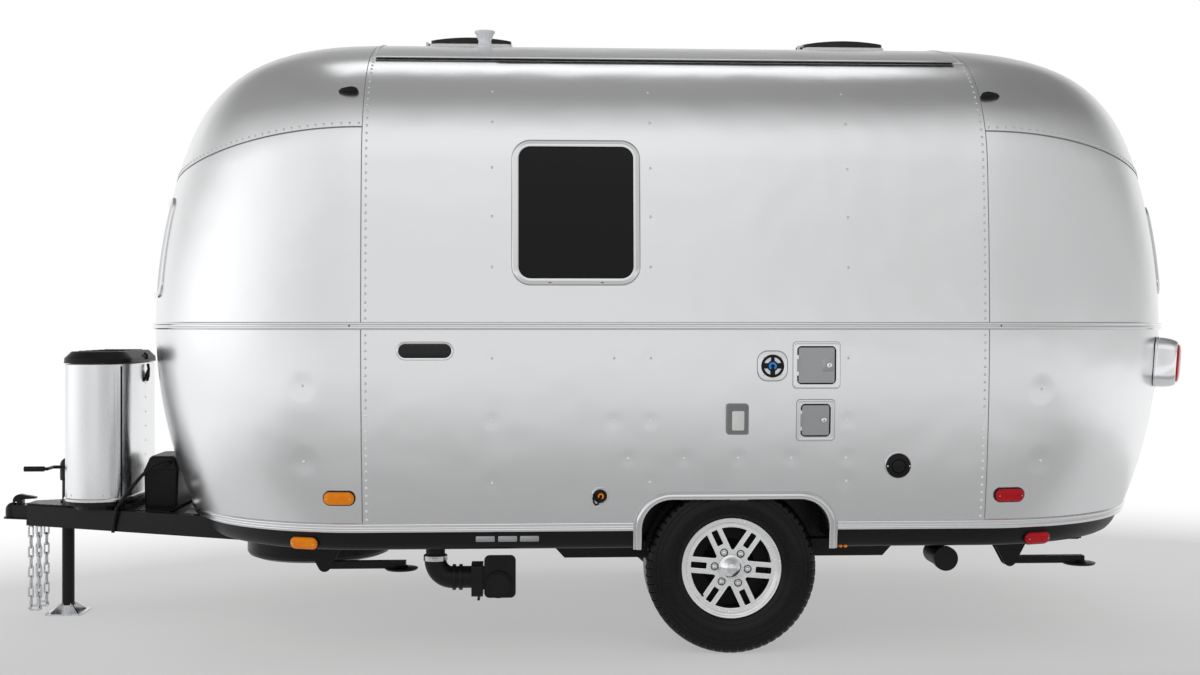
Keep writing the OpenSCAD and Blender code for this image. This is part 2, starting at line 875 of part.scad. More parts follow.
module vent_lid(x) {
    top = roof_z + 62;
    color([0.1, 0.1, 0.11])
        difference() {
            union() {
                intersection() {
                    translate([x, 0, top - 1100])
                        sphere(r = 1100, $fn = 180);
                    translate([x, 0, roof_z + 20])
                        linear_extrude(100)
                            rounded(vent_w - 10, vent_w - 10, 40);
                }
                for (k = [-1, 1])
                    translate([x - vent_w / 2 - 14, k * 100 + 7, lug_z]) {
                        rotate([90, 0, 0])
                            cylinder(r = 7, h = 14);
                        translate([0, -14, -4])
                            cube([30, 14, 8]);
                    }
            }
            intersection() {
                translate([x, 0, top - 1100])
                    sphere(r = 1094, $fn = 180);
                translate([x, 0, roof_z])
                    linear_extrude(100)
                        rounded(vent_w - 26, vent_w - 26, 32);
            }
            translate([x - vent_w / 2 - 14, 150, lug_z])
                rotate([90, 0, 0])
                    cylinder(r = 3.05, h = 300);
        }
}

module vent_lid_front() {
    vent_lid(vent_xs[0]);
}

module vent_lid_rear() {
    vent_lid(vent_xs[1]);
}

module roof_cap_vent() {
    color([0.9, 0.9, 0.9])
        difference() {
            translate([vent_xs[0] + 70, -350, roof_z - 90]) {
                cylinder(r = 26, h = 120);
                translate([0, 0, 96])
                    cylinder(r1 = 48, r2 = 38, h = 36);
            }
            roof_solid(fit);
        }
}

// chassis and tongue

cross_xs = [tongue_end + 25, axle_x - 1003, axle_x - 523, axle_x + 546, seam_r + 64, rail_end - 25];
outrigger_xs = [door_x - 50, door_x + door_w + 50, axle_x - 503, axle_x + 506, seam_r - 200];

// channel section, its web at the left or at the right
module channel(w, h, web_right = false) {
    difference() {
        square([w, h]);
        translate([web_right ? -1 : web_t, web_t])
            square([w - web_t + 1, h - 2 * web_t]);
    }
}

module chassis_rails() {
    color([0.07, 0.07, 0.075])
        for (k = [-1, 1])
            scale([1, k, 1])
                translate([tongue_end, rail_y - rail_w / 2, frame_z])
                    rotate([90, 0, 90])
                        linear_extrude(rail_end - tongue_end)
                            channel(rail_w, floor_z - frame_z);
}

module cross_members() {
    color([0.07, 0.07, 0.075]) {
        for (x = cross_xs)
            translate([x - 25, -rail_y + rail_w / 2 + fit, frame_z + 20])
                cube([50, 2 * rail_y - rail_w - 2 * fit, 80]);
        for (x = outrigger_xs, k = [-1, 1])
            scale([1, k, 1])
                translate([x + 15, rail_y + rail_w / 2 + fit, floor_z])
                    rotate([0, -90, 0])
                        linear_extrude(30)
                            polygon([[0, 0], [-95, 0], [-40, side_y(wall_z0, -wall_t) - rail_y - 30],
                                [0, side_y(wall_z0, -wall_t) - rail_y - 30]]);
    }
}

pan_z = frame_z - 4 - fit;
tank_pans = [
    // front end, rear end, depth
    [axle_x - 760, axle_x - 250, 75],
    [axle_x + 190, axle_x + 800, 75]
];

module belly_pan() {
    color([0.22, 0.22, 0.23]) {
        difference() {
            translate([tongue_end + 60, -rail_y - 20, pan_z])
                cube([rail_end - 10 - tongue_end - 60, 2 * rail_y + 40, 4]);
            translate([axle_x - 205, -rail_y - 210, frame_z - 20])
                cube([110, 2 * rail_y + 420, 40]);
        }
        for (p = tank_pans)
            translate([0, rail_y - 40, pan_z])
                rotate([90, 0, 0])
                    linear_extrude(2 * rail_y - 80)
                        polygon([[p[0], 2], [p[0], 0], [p[0] + 70, -p[2]], [p[1] - 70, -p[2]], [p[1], 0], [p[1], 2]]);
    }
}

function stadium(r, w, n = 14) =
    [for (k = [0, 180], i = [0 : n])
        let(a = k + 180 * i / n)
        [r * cos(a), (k == 0 ? 1 : -1) * (w / 2 - r) + r * sin(a)]];

// y of the middle of a tongue bar
function bar_y(x) = apex_y + (x - apex_x) * tan(tongue_a);

module tongue_bar() {
    intersection() {
        translate([apex_x, apex_y, frame_z])
            rotate(tongue_a)
                translate([-100, -bar_w / 2, 0])
                    rotate([90, 0, 90])
                        linear_extrude(2000)
                            channel(bar_w, bar_top - frame_z, true);
        translate([apex_x - 20, 0, 0])
            cube([tongue_end - apex_x + 20 - fit, half_w, 1000]);
    }
}

module tongue_bars() {
    color([0.07, 0.07, 0.075]) {
        tongue_bar();
        kerb() tongue_bar();
    }
}

box_x = cover_x + cover_r + 123;
brace_x = nose_x + 120;
brace_y = bar_y(brace_x) + (bar_w / 2 - web_t) / cos(tongue_a) - 2 * fit;

module tongue_plates() {
    color([0.07, 0.07, 0.075]) {
        // plate that carries the jack
        difference() {
            translate([0, 0, bar_top])
                linear_extrude(8)
                    polygon([[apex_x - 20, -60], [cover_x - cover_r - 10, -150], [cover_x - cover_r - 10, 150],
                        [apex_x - 20, 60]]);
            translate([jack_x, 0, 0])
                cylinder(r = 29.5, h = 1000);
        }
        // tray of the gas bottles on its foot
        translate([cover_x, 0, cover_z - 16])
            linear_extrude(16)
                polygon(stadium(cover_r + 8, cover_w + 16));
        translate([cover_x, 0, bar_top])
            linear_extrude(cover_z - bar_top)
                polygon(stadium(cover_r - 30, cover_w - 120));
        // brace between the bars
        translate([brace_x, -brace_y, frame_z + web_t + fit])
            cube([50, 2 * brace_y, bar_top - frame_z - 2 * web_t - 2 * fit]);
        // tray of the battery box
        translate([0, 0, bar_top])
            linear_extrude(4)
                polygon([[box_x - 95, -290], [box_x + 80, -350], [box_x + 80, 350], [box_x - 95, 290]]);
    }
}

socket_r = 42.5;
socket_z = 455;

module coupler() {
    x = tip_x + socket_r;
    back = apex_x - 20 - fit;
    pivot = [tip_x + 78, 536];
    color([0.09, 0.09, 0.1])
        difference() {
            union() {
                translate([x, 0, socket_z])
                    rotate_extrude()
                        polygon(concat([[0, 0], [socket_r, 0], [socket_r, 6], [34, 9]], arc(34, 0, 90, 7, [0, 41])));
                translate([0, 0, socket_z])
                    linear_extrude(6)
                        polygon([[x, -socket_r], [back, -72], [back, 72], [x, socket_r]]);
                translate([0, 0, socket_z])
                    linear_extrude(66)
                        polygon([[x, -30], [back, -60], [back, 60], [x, 30]]);
                // latch lever over the housing, with its pivot lugs
                translate([0, 15, 0])
                    rotate([90, 0, 0])
                        linear_extrude(30)
                            polygon(concat(arc(33, 190, 68, 8, pivot), [[tip_x + 150, 556], [tip_x + 153, 548]],
                                arc(9, 62, 190, 4, pivot)));
                translate([pivot[0], 20, pivot[1]])
                    rotate([90, 0, 0])
                        cylinder(r = 13, h = 40);
                translate([pivot[0] - 13, -20, 515])
                    cube([26, 40, 21]);
            }
            translate([x, 0, socket_z - 50])
                cylinder(r = ball_r + 0.2, h = 80);
            translate([x, 0, socket_z + 30])
                sphere(r = ball_r + 0.2);
        }
}

foot_w = 172;
crank_z = 697;

module jack() {
    color([0.12, 0.12, 0.125])
        translate([jack_x, 0, 0]) {
            // foot plate with four gussets
            linear_extrude(8)
                rounded(foot_w, foot_w, 14);
            for (a = [45 : 90 : 315])
                rotate(a)
                    translate([26, 3, 0])
                        rotate([90, 0, 0])
                            linear_extrude(6)
                                polygon([[0, 7], [68, 7], [8, 50], [0, 50]]);
            cylinder(r = 34, h = 40);
            // tube, its flange on the tongue plate, and the gear head
            translate([0, 0, 20])
                cylinder(r = 28.5, h = 630);
            translate([0, 0, bar_top + 8 + fit])
                cylinder(r = 36, h = 10);
            translate([0, 0, 636])
                rotate_extrude()
                    polygon(concat([[0, 0], [36, 0], [38, 8], [38, 70]], arc(38, 0, 90, 6, [0, 70])));
            // crank: shaft, arm and grip
            translate([0, 0, crank_z])
                rotate([0, -90, 0])
                    cylinder(r = 8, h = 70);
            translate([-70, 0, crank_z])
                sphere(r = 8);
            translate([-70, 0, crank_z])
                rotate([90, 0, 0])
                    cylinder(r = 8, h = 90);
            translate([-70, -90, crank_z])
                sphere(r = 8);
            translate([-70, -90, crank_z])
                rotate([0, -90, 0]) {
                    cylinder(r = 8, h = 20);
                    translate([0, 0, 14])
                        cylinder(r = 12.5, h = 92);
                }
        }
}

link_l = 36;
link_r = 4.5;
link_w = 10;
link_n = 8;

module link() {
    for (k = [0, 180])
        rotate(k)
            translate([0, link_l / 2, 0])
                rotate_extrude(angle = 180)
                    translate([link_w, 0])
                        circle(r = link_r, $fn = 16);
    for (k = [-1, 1])
        translate([k * link_w, 0, 0])
            rotate([90, 0, 0])
                cylinder(r = link_r, h = link_l, center = true, $fn = 16);
}

link_reach = link_l / 2 + link_w;
link_pitch = 2 * link_reach - 2 * link_r + 0.6;
link_top = frame_z - fit - link_reach - link_r;

module strand() {
    for (i = [0 : link_n - 1])
        translate([0, 0, link_top - i * link_pitch])
            rotate([90, 0, (link_n - 1 - i) % 2 == 0 ? 90 : 0])
                link();
}

// hanging loop: two strands up to the underside of a tongue bar and the link that joins them
module chain_loop() {
    for (s = [-1, 1])
        translate([s * (link_reach - 2 * link_r + 0.3), 0, 0])
            strand();
    translate([0, 0, link_top - (link_n - 1) * link_pitch - link_reach])
        rotate([90, 90, 0])
            link();
}

module safety_chains() {
    x = apex_x + 15;
    color([0.3, 0.31, 0.32])
        for (k = [-1, 1])
            translate([x, k * bar_y(x), 0])
                chain_loop();
}

// tongue load

module stack(loops) {
    n = len(loops);
    m = len(loops[0]);
    polyhedron(
        points = [for (l = loops) each l],
        faces = concat(
            [for (i = [0 : n - 2], j = [0 : m - 1])
                let(a = i * m + j, b = i * m + (j + 1) % m)
                each [[a, a + m, b + m], [a, b + m, b]]],
            [for (j = [1 : m - 2]) [0, j, j + 1]],
            [for (j = [1 : m - 2]) [(n - 1) * m, (n - 1) * m + j + 1, (n - 1) * m + j]]));
}

function at(pts, z) = [for (p = pts) [p[0], p[1], z]];

module gas_cover() {
    color([0.78, 0.8, 0.82])
        translate([cover_x, 0, cover_z + fit])
            linear_extrude(cover_h - fit)
                difference() {
                    polygon(stadium(cover_r, cover_w));
                    polygon(stadium(cover_r - 3, cover_w - 6));
                }
    color([0.78, 0.8, 0.82])
        translate([gas_hinge[0], 0, gas_hinge[1]]) {
            for (k = [-1, 1])
                translate([0, k * 90, 0]) {
                    rotate([90, 0, 0])
                        cylinder(r = 6, h = 24, center = true);
                    translate([-6, -12, -34])
                        cube([12, 24, 34]);
                    translate([0, -12, -34])
                        cube([13, 24, 12]);
                }
            rotate([90, 0, 0])
                cylinder(r = 2.5, h = 204, center = true);
        }
}

gas_hinge = [cover_x - cover_r - 12, cover_z + cover_h + 8];

module gas_lid() {
    z = cover_z + cover_h + 5.5;
    color([0.07, 0.07, 0.075])
        translate([cover_x, 0, 0])
            difference() {
                stack([at(stadium(cover_r + 5, cover_w + 10), z), at(stadium(cover_r + 5, cover_w + 10), z + 22),
                    at(stadium(cover_r - 28, cover_w - 56), z + 54)]);
                stack([at(stadium(cover_r, cover_w), z - 1), at(stadium(cover_r, cover_w), z + 20),
                    at(stadium(cover_r - 32, cover_w - 64), z + 49)]);
            }
    color([0.07, 0.07, 0.075])
        for (k = [-1, 1])
            translate([gas_hinge[0], k * 60, gas_hinge[1]])
                difference() {
                    union() {
                        rotate([90, 0, 0])
                            cylinder(r = 6, h = 24, center = true);
                        translate([0, -12, 0])
                            cube([10, 24, 6]);
                    }
                    rotate([90, 0, 0])
                        cylinder(r = 2.55, h = 60, center = true);
                }
}

module gas_bottles() {
    color([0.85, 0.85, 0.84])
        for (k = [-1, 1])
            translate([cover_x, k * (cover_w / 2 - bottle_r - 27), cover_z + fit])
                rotate_extrude()
                    polygon([[0, 0], [bottle_r - 26, 0], [bottle_r, 40], [bottle_r, 330], [bottle_r - 18, 390], [90, 420],
                        [90, 500], [0, 500]]);
}

// box with a drawn-in foot, and a lid with a lip and sloped sides
module battery_box() {
    z = bar_top + 4 + fit;
    color([0.05, 0.05, 0.055])
        translate([box_x, 0, z]) {
            stack([at(lens_pts(152, 312, 14), 0), at(lens_pts(158, 318, 16), 150)]);
            stack([at(lens_pts(164, 330, 18), 150), at(lens_pts(164, 330, 18), 168), at(lens_pts(156, 322, 18), 172),
                at(lens_pts(118, 290, 22), 224), at(lens_pts(100, 272, 22), 232)]);
        }
}

cable_r = 8;
cable_path = [[-1945, -152.5, 735], [-1945, -171, 740.5], [-1968, -196, 741], [-2010, -226, 722], [-2052, -256, 680],
    [-2090, -284, 630], [-2122, -304, 580], [-2150, -312, 540], [-2160, -306, 500], [-2166, -300.4, 470],
    [-2170, -297.3, 444], [-2172, -296.4, 424]];

// round tube through a path, its rings square to the way through each point
module tube(path, r, n = 8) {
    m = len(path);
    stack([for (i = [m - 1 : -1 : 0])
        let(d = path[min(i + 1, m - 1)] - path[max(i - 1, 0)], t = d / norm(d))
        let(u0 = cross(t, [0, 0.6, 0.8]), u = u0 / norm(u0), v = cross(t, u))
        [for (j = [0 : n - 1]) path[i] + r * cos(360 * j / n) * u - r * sin(360 * j / n) * v]]);
}

module tow_cable() {
    color([0.03, 0.03, 0.03])
        tube(cable_path, cable_r);
}

// running gear

beam = [-150, frame_z - 40 - fit - axle_z];
arm_y = track / 2 - 207.5;

module axle() {
    color([0.07, 0.07, 0.075]) {
        translate([axle_x + beam[0] - 40, -arm_y, frame_z - 80 - fit])
            cube([80, 2 * arm_y, 80]);
        for (k = [-1, 1])
            scale([1, k, 1])
                translate([axle_x, arm_y, axle_z])
                    rotate([-90, 0, 0]) {
                        // swing arm, spindle and brake plate
                        mirror([0, 1, 0])
                            linear_extrude(32)
                                polygon(concat(arc(34, -105, 75, 9), arc(44, 75, 255, 9, beam)));
                        cylinder(r = 20, h = 206);
                        translate([0, 0, 32])
                            cylinder(r = 112, h = 6);
                    }
    }
}

module wheel_at(side, y = track / 2) {
    translate([axle_x, side * y, axle_z])
        rotate([-90 * side, 0, 0])
            children();
}

module hub(side) {
    color([0.3, 0.31, 0.32])
        wheel_at(side)
            difference() {
                union() {
                    translate([0, 0, -146])
                        cylinder(r = 140, h = 60);
                    translate([0, 0, -146])
                        cylinder(r = 60, h = 198);
                }
                translate([0, 0, -150])
                    cylinder(r = 20.05, h = 150);
            }
}

module hub_left() {
    hub(-1);
}

module hub_right() {
    hub(1);
}

rim_pts = [[202, -90], [rim_r, -90], [rim_r, -84], [190, -79], [190, 79], [rim_r, 84], [rim_r, 90], [202, 90],
    [181, 72], [181, -72]];
spoke_n = 6;
spoke_turn = -5;
spoke_half = 34;
window_r = 170;
face_z = 52 + fit;
face_t = 22;

// opening between two pairs of bars, its point toward the hub
function rim_window() =
    let(h = 180 / spoke_n, b = h - asin(spoke_half / window_r))
    concat(arc(8, 270 - h, 90 + h, 4, [(spoke_half + 8) / sin(h), 0]), arc(window_r, b, -b, 8));

module rim(side) {
    color([0.78, 0.79, 0.8])
        wheel_at(side) {
            rotate_extrude($fn = 72)
                polygon(rim_pts);
            difference() {
                translate([0, 0, face_z])
                    cylinder(r = 184, h = face_t, $fn = 72);
                for (i = [0 : spoke_n - 1])
                    rotate(spoke_turn + 360 * i / spoke_n) {
                        // slot between the two bars, seat of a wheel nut, opening beside the bars
                        translate([104, -13, face_z + 10])
                            cube([66, 26, face_t]);
                        translate([70, 0, face_z + 10])
                            cylinder(r = 15, h = face_t);
                        rotate(180 / spoke_n)
                            translate([0, 0, face_z - 1])
                                linear_extrude(face_t + 2)
                                    polygon(rim_window());
                    }
            }
            // centre cap
            translate([0, 0, face_z + face_t - 1])
                rotate_extrude()
                    polygon(concat([[0, 0], [53, 0], [53, 6], [46, 9]], arc(60.9, 41, 90, 5, [0, -30.9])));
        }
}

module rim_left() {
    rim(-1);
}

module rim_right() {
    rim(1);
}

module tyre_ring(ro, w) {
    half_t = [[190.3, 78], [211, 83.6], [214, 92], [226, w / 2 - 10], [258, w / 2], [290, w / 2 - 1],
        [ro - 26, w / 2 - 12], [ro - 10, w / 2 - 24], [ro - 2, w / 2 - 36], [ro, w / 2 - 52]];
    rotate_extrude($fn = 96)
        polygon(concat(half_t, [for (p = turn(half_t)) [p[0], -p[1]]]));
}

module tyre_left() {
    color([0.04, 0.04, 0.04])
        wheel_at(-1) tyre_ring(tyre_d / 2, tyre_w);
}

module tyre_right() {
    color([0.04, 0.04, 0.04])
        wheel_at(1) tyre_ring(tyre_d / 2, tyre_w);
}

// under the floor

module spare_wheel() {
    color([0.05, 0.05, 0.05])
        translate([tongue_end - 34, 0, pan_z - 75 - fit])
            rotate_extrude($fn = 96)
                polygon([[0, -40], [200, -40], [205, -62], [240, -75], [300, -72], [330, -60], [340, -45], [340, 45],
                    [330, 60], [300, 72], [240, 75], [205, 62], [200, 40], [0, 40]]);
}

drain_x = axle_x - 1240;
drain_y = half_w - 228;
drain_z = 314;
tail_drain = [axle_x + 932, 379];

module drain_pipes() {
    color([0.05, 0.05, 0.055]) {
        // waste outlet: pipe from the floor, bend, collars, gate valve, bracket and cap
        translate([drain_x, -drain_y, drain_z]) {
            translate([0, 0, 72])
                cylinder(r = 40, h = floor_z - drain_z - 72 - fit);
            translate([0, 0, 70])
                cylinder(r = 48, h = 26);
            translate([72, 0, 72])
                rotate([-90, 0, 0])
                    rotate([0, 0, 90])
                        rotate_extrude(angle = 90)
                            translate([72, 0])
                                circle(r = 46);
            translate([72, 0, 0])
                rotate([0, 90, 0]) {
                    cylinder(r = 46, h = 136);
                    cylinder(r = 54, h = 14);
                    translate([0, 0, 28])
                        cylinder(r = 54, h = 14);
                    translate([8, 0, 80])
                        linear_extrude(48)
                            rounded(136, 110, 16);
                }
            translate([182, 0, -90])
                cylinder(r = 5, h = 40);
            translate([182, 0, -88])
                rotate([90, 0, 0])
                    cylinder(r = 6, h = 70, center = true);
            translate([272, -46, 10])
                rotate([90, 0, 0]) {
                    linear_extrude(10)
                        rounded(132, 178, 22);
                    translate([-6, -32, 0])
                        cylinder(r = 55, h = 30);
                    translate([-6, -32, 28])
                        cylinder(r = 46, h = 10);
                }
            translate([200, -50, -45])
                cube([60, 50, 90]);
        }
        // rear outlet: stub from the floor and a capped pipe to the side
        translate([tail_drain[0], -rail_y - 66, tail_drain[1]]) {
            cylinder(r = 38, h = floor_z - tail_drain[1] - fit);
            sphere(r = 46);
            rotate([90, 0, 0])
                cylinder(r = 46, h = drain_y - rail_y - 66 + 20);
            rotate([90, 0, 0])
                translate([0, 0, drain_y - rail_y - 66])
                    cylinder(r = 52, h = 30);
        }
    }
}

stands = [
    // pivot, foot
    [tongue_end + 88, tongue_end + 418],
    [seam_r + 234, seam_r + 554]
];

module stabilizers() {
    top = pan_z - fit;
    drop = 90;
    color([0.12, 0.12, 0.125])
        for (s = stands, k = [-1, 1])
            translate([0, k * rail_y, top]) {
                // two cheek plates, the folded leg between them and its round foot
                for (y = [-26, 20])
                    translate([s[0], y + 6, 0])
                        rotate([90, 0, 0])
                            linear_extrude(6)
                                polygon(concat([[-80, 0]], arc(28, 215, 325, 6, [0, -drop]), [[80, 0]]));
                translate([s[0], 26, -drop])
                    rotate([90, 0, 0])
                        cylinder(r = 12, h = 52);
                translate([s[0] - 20, -20, -drop - 16])
                    cube([s[1] - s[0] + 40, 40, 32]);
                translate([s[1], 0, -drop - 24])
                    rotate_extrude()
                        polygon([[0, 0], [66, 0], [72, 5], [72, 9], [34, 12], [26, 20], [0, 20]]);
            }
}

side_wall_left();
side_wall_right();
roof_panel();
front_cap_lower();
front_cap_dome();
rear_cap_lower();
rear_cap_dome();
floor_deck();
belly_pan();
wheel_wells();
skirt();
belt_trim();
rub_rail();
arch_trims();
awning_rails();
window_frames();
window_glass();
entry_door();
door_trim();
door_glass();
door_handle();
door_hinges();
entry_step();
hatch_frames();
hatch_door_upper();
hatch_door_lower();
side_inlets();
vent_box();
lamps_amber();
lamps_red();
clearance_lamps();
tail_lamp_pods();
vent_bases();
vent_lid_front();
vent_lid_rear();
roof_cap_vent();
chassis_rails();
cross_members();
tongue_bars();
tongue_plates();
coupler();
jack();
safety_chains();
gas_cover();
gas_lid();
gas_bottles();
battery_box();
tow_cable();
axle();
hub_left();
hub_right();
rim_left();
rim_right();
tyre_left();
tyre_right();
spare_wheel();
drain_pipes();
stabilizers();
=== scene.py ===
"""Riveted aluminium travel caravan: the looks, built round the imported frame."""

import json
import math

import bmesh
import bpy
import numpy as np
from mathutils import Matrix, Vector
from mathutils.geometry import delaunay_2d_cdt

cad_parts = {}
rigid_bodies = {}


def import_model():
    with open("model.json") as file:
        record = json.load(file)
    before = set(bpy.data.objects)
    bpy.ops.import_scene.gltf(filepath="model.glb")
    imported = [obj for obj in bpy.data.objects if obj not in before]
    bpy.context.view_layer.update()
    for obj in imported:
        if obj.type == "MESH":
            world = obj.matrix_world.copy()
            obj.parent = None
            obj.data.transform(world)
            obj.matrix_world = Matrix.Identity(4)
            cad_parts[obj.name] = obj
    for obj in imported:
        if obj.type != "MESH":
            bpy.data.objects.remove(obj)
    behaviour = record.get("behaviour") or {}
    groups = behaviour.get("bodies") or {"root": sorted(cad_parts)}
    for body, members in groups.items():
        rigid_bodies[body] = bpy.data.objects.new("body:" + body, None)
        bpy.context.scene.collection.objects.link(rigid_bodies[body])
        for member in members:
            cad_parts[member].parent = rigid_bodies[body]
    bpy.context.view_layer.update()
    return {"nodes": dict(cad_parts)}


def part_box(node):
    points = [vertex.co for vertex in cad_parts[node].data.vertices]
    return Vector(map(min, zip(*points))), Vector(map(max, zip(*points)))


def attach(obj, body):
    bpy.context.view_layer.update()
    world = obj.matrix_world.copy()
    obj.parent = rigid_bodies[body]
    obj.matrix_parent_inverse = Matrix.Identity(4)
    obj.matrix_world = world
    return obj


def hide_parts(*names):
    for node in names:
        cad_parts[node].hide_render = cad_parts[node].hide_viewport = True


for default in list(bpy.data.objects):
    bpy.data.objects.remove(default)

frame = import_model()
NODES = frame["nodes"]

# sizes from the frame, in metres

wall_low, wall_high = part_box("side_wall_left")
SEAM_F, SEAM_R = wall_low.x, wall_high.x
HALF_W = -wall_low.y
WALL_Z0, GUTTER_Z = wall_low.z, wall_high.z
ROOF_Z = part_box("roof_panel")[1].z
CAP_FRONT = SEAM_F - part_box("front_cap_lower")[0].x
CAP_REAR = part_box("rear_cap_lower")[1].x - SEAM_R
tyre_low, tyre_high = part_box("tyre_left")
AXLE_X, AXLE_Z = (tyre_low.x + tyre_high.x) / 2, (tyre_low.z + tyre_high.z) / 2
TRACK_Y = -(tyre_low.y + tyre_high.y) / 2
RIM_R = (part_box("rim_left")[1].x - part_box("rim_left")[0].x) / 2
TIP_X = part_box("coupler")[0].x

# sizes of the shell's curves and fittings, in metres; the arcs are lower, upper, shoulder and crown

BELT_Z = 1.374
WALL_T = 0.045
LAP_DOME, LAP_MID = 0.0012, 0.0025
SIDE_ARCS = (5.1, 8.5, 0.57, 1.97)
END_ARCS = (2.0, 2.27, 0.67, 2.095)
SEAM_Z = BELT_Z + 0.62 * (ROOF_Z - BELT_Z)
SEAM_DROP, SEAM_GAP = 0.16, 0.0012
ARCH_X, ARCH_Z = AXLE_X + 0.01, 0.655
ARCH_HALF, ARCH_R = 0.39, 0.122
ARCH_GAP = ARCH_HALF + 0.0363
TRIM_D = 0.015
DOOR_X, DOOR_W = SEAM_F + 0.14, 0.66
DOOR_Z, DOOR_H, DOOR_R, DOOR_GAP = 0.6, 1.66, 0.11, 0.008
HINGE_X, HINGE_Y = DOOR_X - 0.004, HALF_W + TRIM_D + 0.009
BOTH = (-1, 1)


# the shell as one surface

def shoulder(width, arcs):
    """Middle of the small shoulder arc that joins the side arc to the crown arc."""
    low = Vector((width - arcs[1], BELT_Z))
    crown = Vector((0, ROOF_Z - arcs[3]))
    d1, d2 = arcs[1] - arcs[2], arcs[3] - arcs[2]
    gap = (crown - low).length
    way = (crown - low) / gap
    along = (d1 * d1 - d2 * d2 + gap * gap) / (2 * gap)
    return low + along * way + math.sqrt(d1 * d1 - along * along) * Vector((-way.y, way.x))


def profile(width, arcs):
    """The half width of the shell at a height, and its height at a half width, both moved outwards."""
    low = Vector((width - arcs[1], BELT_Z))
    crown = Vector((0, ROOF_Z - arcs[3]))
    knee = shoulder(width, arcs)
    rise_low = (knee.y - BELT_Z) / (knee - low).length
    rise_crown = (knee.y - crown.y) / (knee - crown).length

    def half(z, out=0.0):
        if z <= BELT_Z:
            return width - arcs[0] + math.sqrt((arcs[0] + out) ** 2 - (z - BELT_Z) ** 2)
        if z <= knee.y + rise_low * (arcs[2] + out):
            return width - arcs[1] + math.sqrt((arcs[1] + out) ** 2 - (z - BELT_Z) ** 2)
        if z <= knee.y + rise_crown * (arcs[2] + out):
            return knee.x + math.sqrt(max(0.0, (arcs[2] + out) ** 2 - (z - knee.y) ** 2))
        return math.sqrt(max(0.0, (arcs[3] + out) ** 2 - (z - crown.y) ** 2))

    def height(y, out=0.0):
        y = abs(y)
        if y <= (arcs[3] + out) * knee.x / (arcs[3] - arcs[2]):
            return crown.y + math.sqrt((arcs[3] + out) ** 2 - y * y)
        return knee.y + math.sqrt((arcs[2] + out) ** 2 - (y - knee.x) ** 2)

    return half, height


side_y, roof_height = profile(HALF_W, SIDE_ARCS)
front_x = profile(CAP_FRONT, END_ARCS)[0]
rear_x = profile(CAP_REAR, END_ARCS)[0]


def skin(station, z, out=0.0):
    """A point of the shell at a station (x, share of the cap's reach, share of the width)."""
    x, reach, side = station
    cap = rear_x if reach > 0 else front_x
    return Vector((x + reach * cap(z, out) if reach else x, side * side_y(z, out), z))


def cap_station(u, rear):
    """Station on a cap, u from 0 at the road side to pi at the kerb side."""
    return (SEAM_R if rear else SEAM_F, math.sin(u) * (1 if rear else -1), -math.cos(u))


def cap_seam(u):
    """Height of the seam between a cap's lower panel and its dome."""
    return SEAM_Z - SEAM_DROP * math.sin(u) ** 2


# metres across a cap for each radian of its turn
CAP_SCALE = 1.1
CAP_ACROSS = math.pi * CAP_SCALE


def side_face(sign):
    return lambda x, z, out: skin((x, 0, sign), z, out)


def cap_face(rear):
    return lambda a, z, out: skin(cap_station(a / CAP_SCALE, rear), z, out)


def dome_face(rear):
    """A dome from its seam, 0, to the roof, 1."""
    def face(a, b, out):
        u = a / CAP_SCALE
        foot = cap_seam(u)
        rise = (ROOF_Z + out - foot) * math.sin(math.pi / 2 * min(1, b))
        return skin(cap_station(u, rear), foot + rise, out)
    return face


def roof_face(x, y, out):
    return Vector((x, y, roof_height(y, out)))


def end_face(rear):
    """A cap seen along its length: across, up, out."""
    def face(y, z, out):
        share = max(-1.0, min(1.0, y / side_y(z, out)))
        return skin(cap_station(math.acos(-share), rear), z, out)
    return face


ROAD, KERB = BOTH
LEFT, RIGHT = side_face(ROAD), side_face(KERB)


def normal_at(face, a, b, out=0.0, step=1e-4):
    """Outward normal of a face."""
    across = face(a + step, b, out) - face(a - step, b, out)
    up = face(a, b + step, out) - face(a, b - step, out)
    n = across.cross(up)
    if n.length < 1e-12:
        return Vector((0, 0, 1))
    n.normalize()
    return n if n.dot(face(a, b, out + step) - face(a, b, out)) >= 0 else -n


# rivets that stand apart from the rows along the seams, as (face, across, up)

RIVET_ZS = (2.21, 2.02, 1.82, 1.614, 1.242, 0.984, 0.731)
CAP_TURNS = ((False, 13.2, 1.13), (False, 14, 0.82), (True, 12.3, 1.11), (True, 13.4, 0.81))
ROAD_RIVETS = [(LEFT, AXLE_X + x, z) for x in (-0.998, -0.35, 0.466) for z in (2.35, *RIVET_ZS)]
ROAD_RIVETS += [(LEFT, AXLE_X - 0.5, z) for z in (1.242, 0.984)]
ROAD_RIVETS += [(LEFT, AXLE_X + x, 0.829) for x in (-0.44, -0.21, 0.014, 0.234, 0.462)]
KERB_RIVETS = [(RIGHT, AXLE_X + x, z) for x in (-0.21, 0.8) for z in RIVET_ZS]
CAP_RIVETS = [(cap_face(rear), math.radians(u) * CAP_SCALE, z)
              for rear, turn, z in CAP_TURNS for u in (turn, 180 - turn)]
DENTED_RIVETS = [row for row in ROAD_RIVETS if row[2] < BELT_Z]


# outlines in two dimensions

def polar(radius, angle):
    return radius * math.cos(angle), radius * math.sin(angle)


def arc(centre, radius, start, end, count=10):
    """Points of an arc, angles in degrees."""
    spokes = [polar(radius, a) for a in np.radians(np.linspace(start, end, count + 1))]
    return [(centre[0] + x, centre[1] + y) for x, y in spokes]


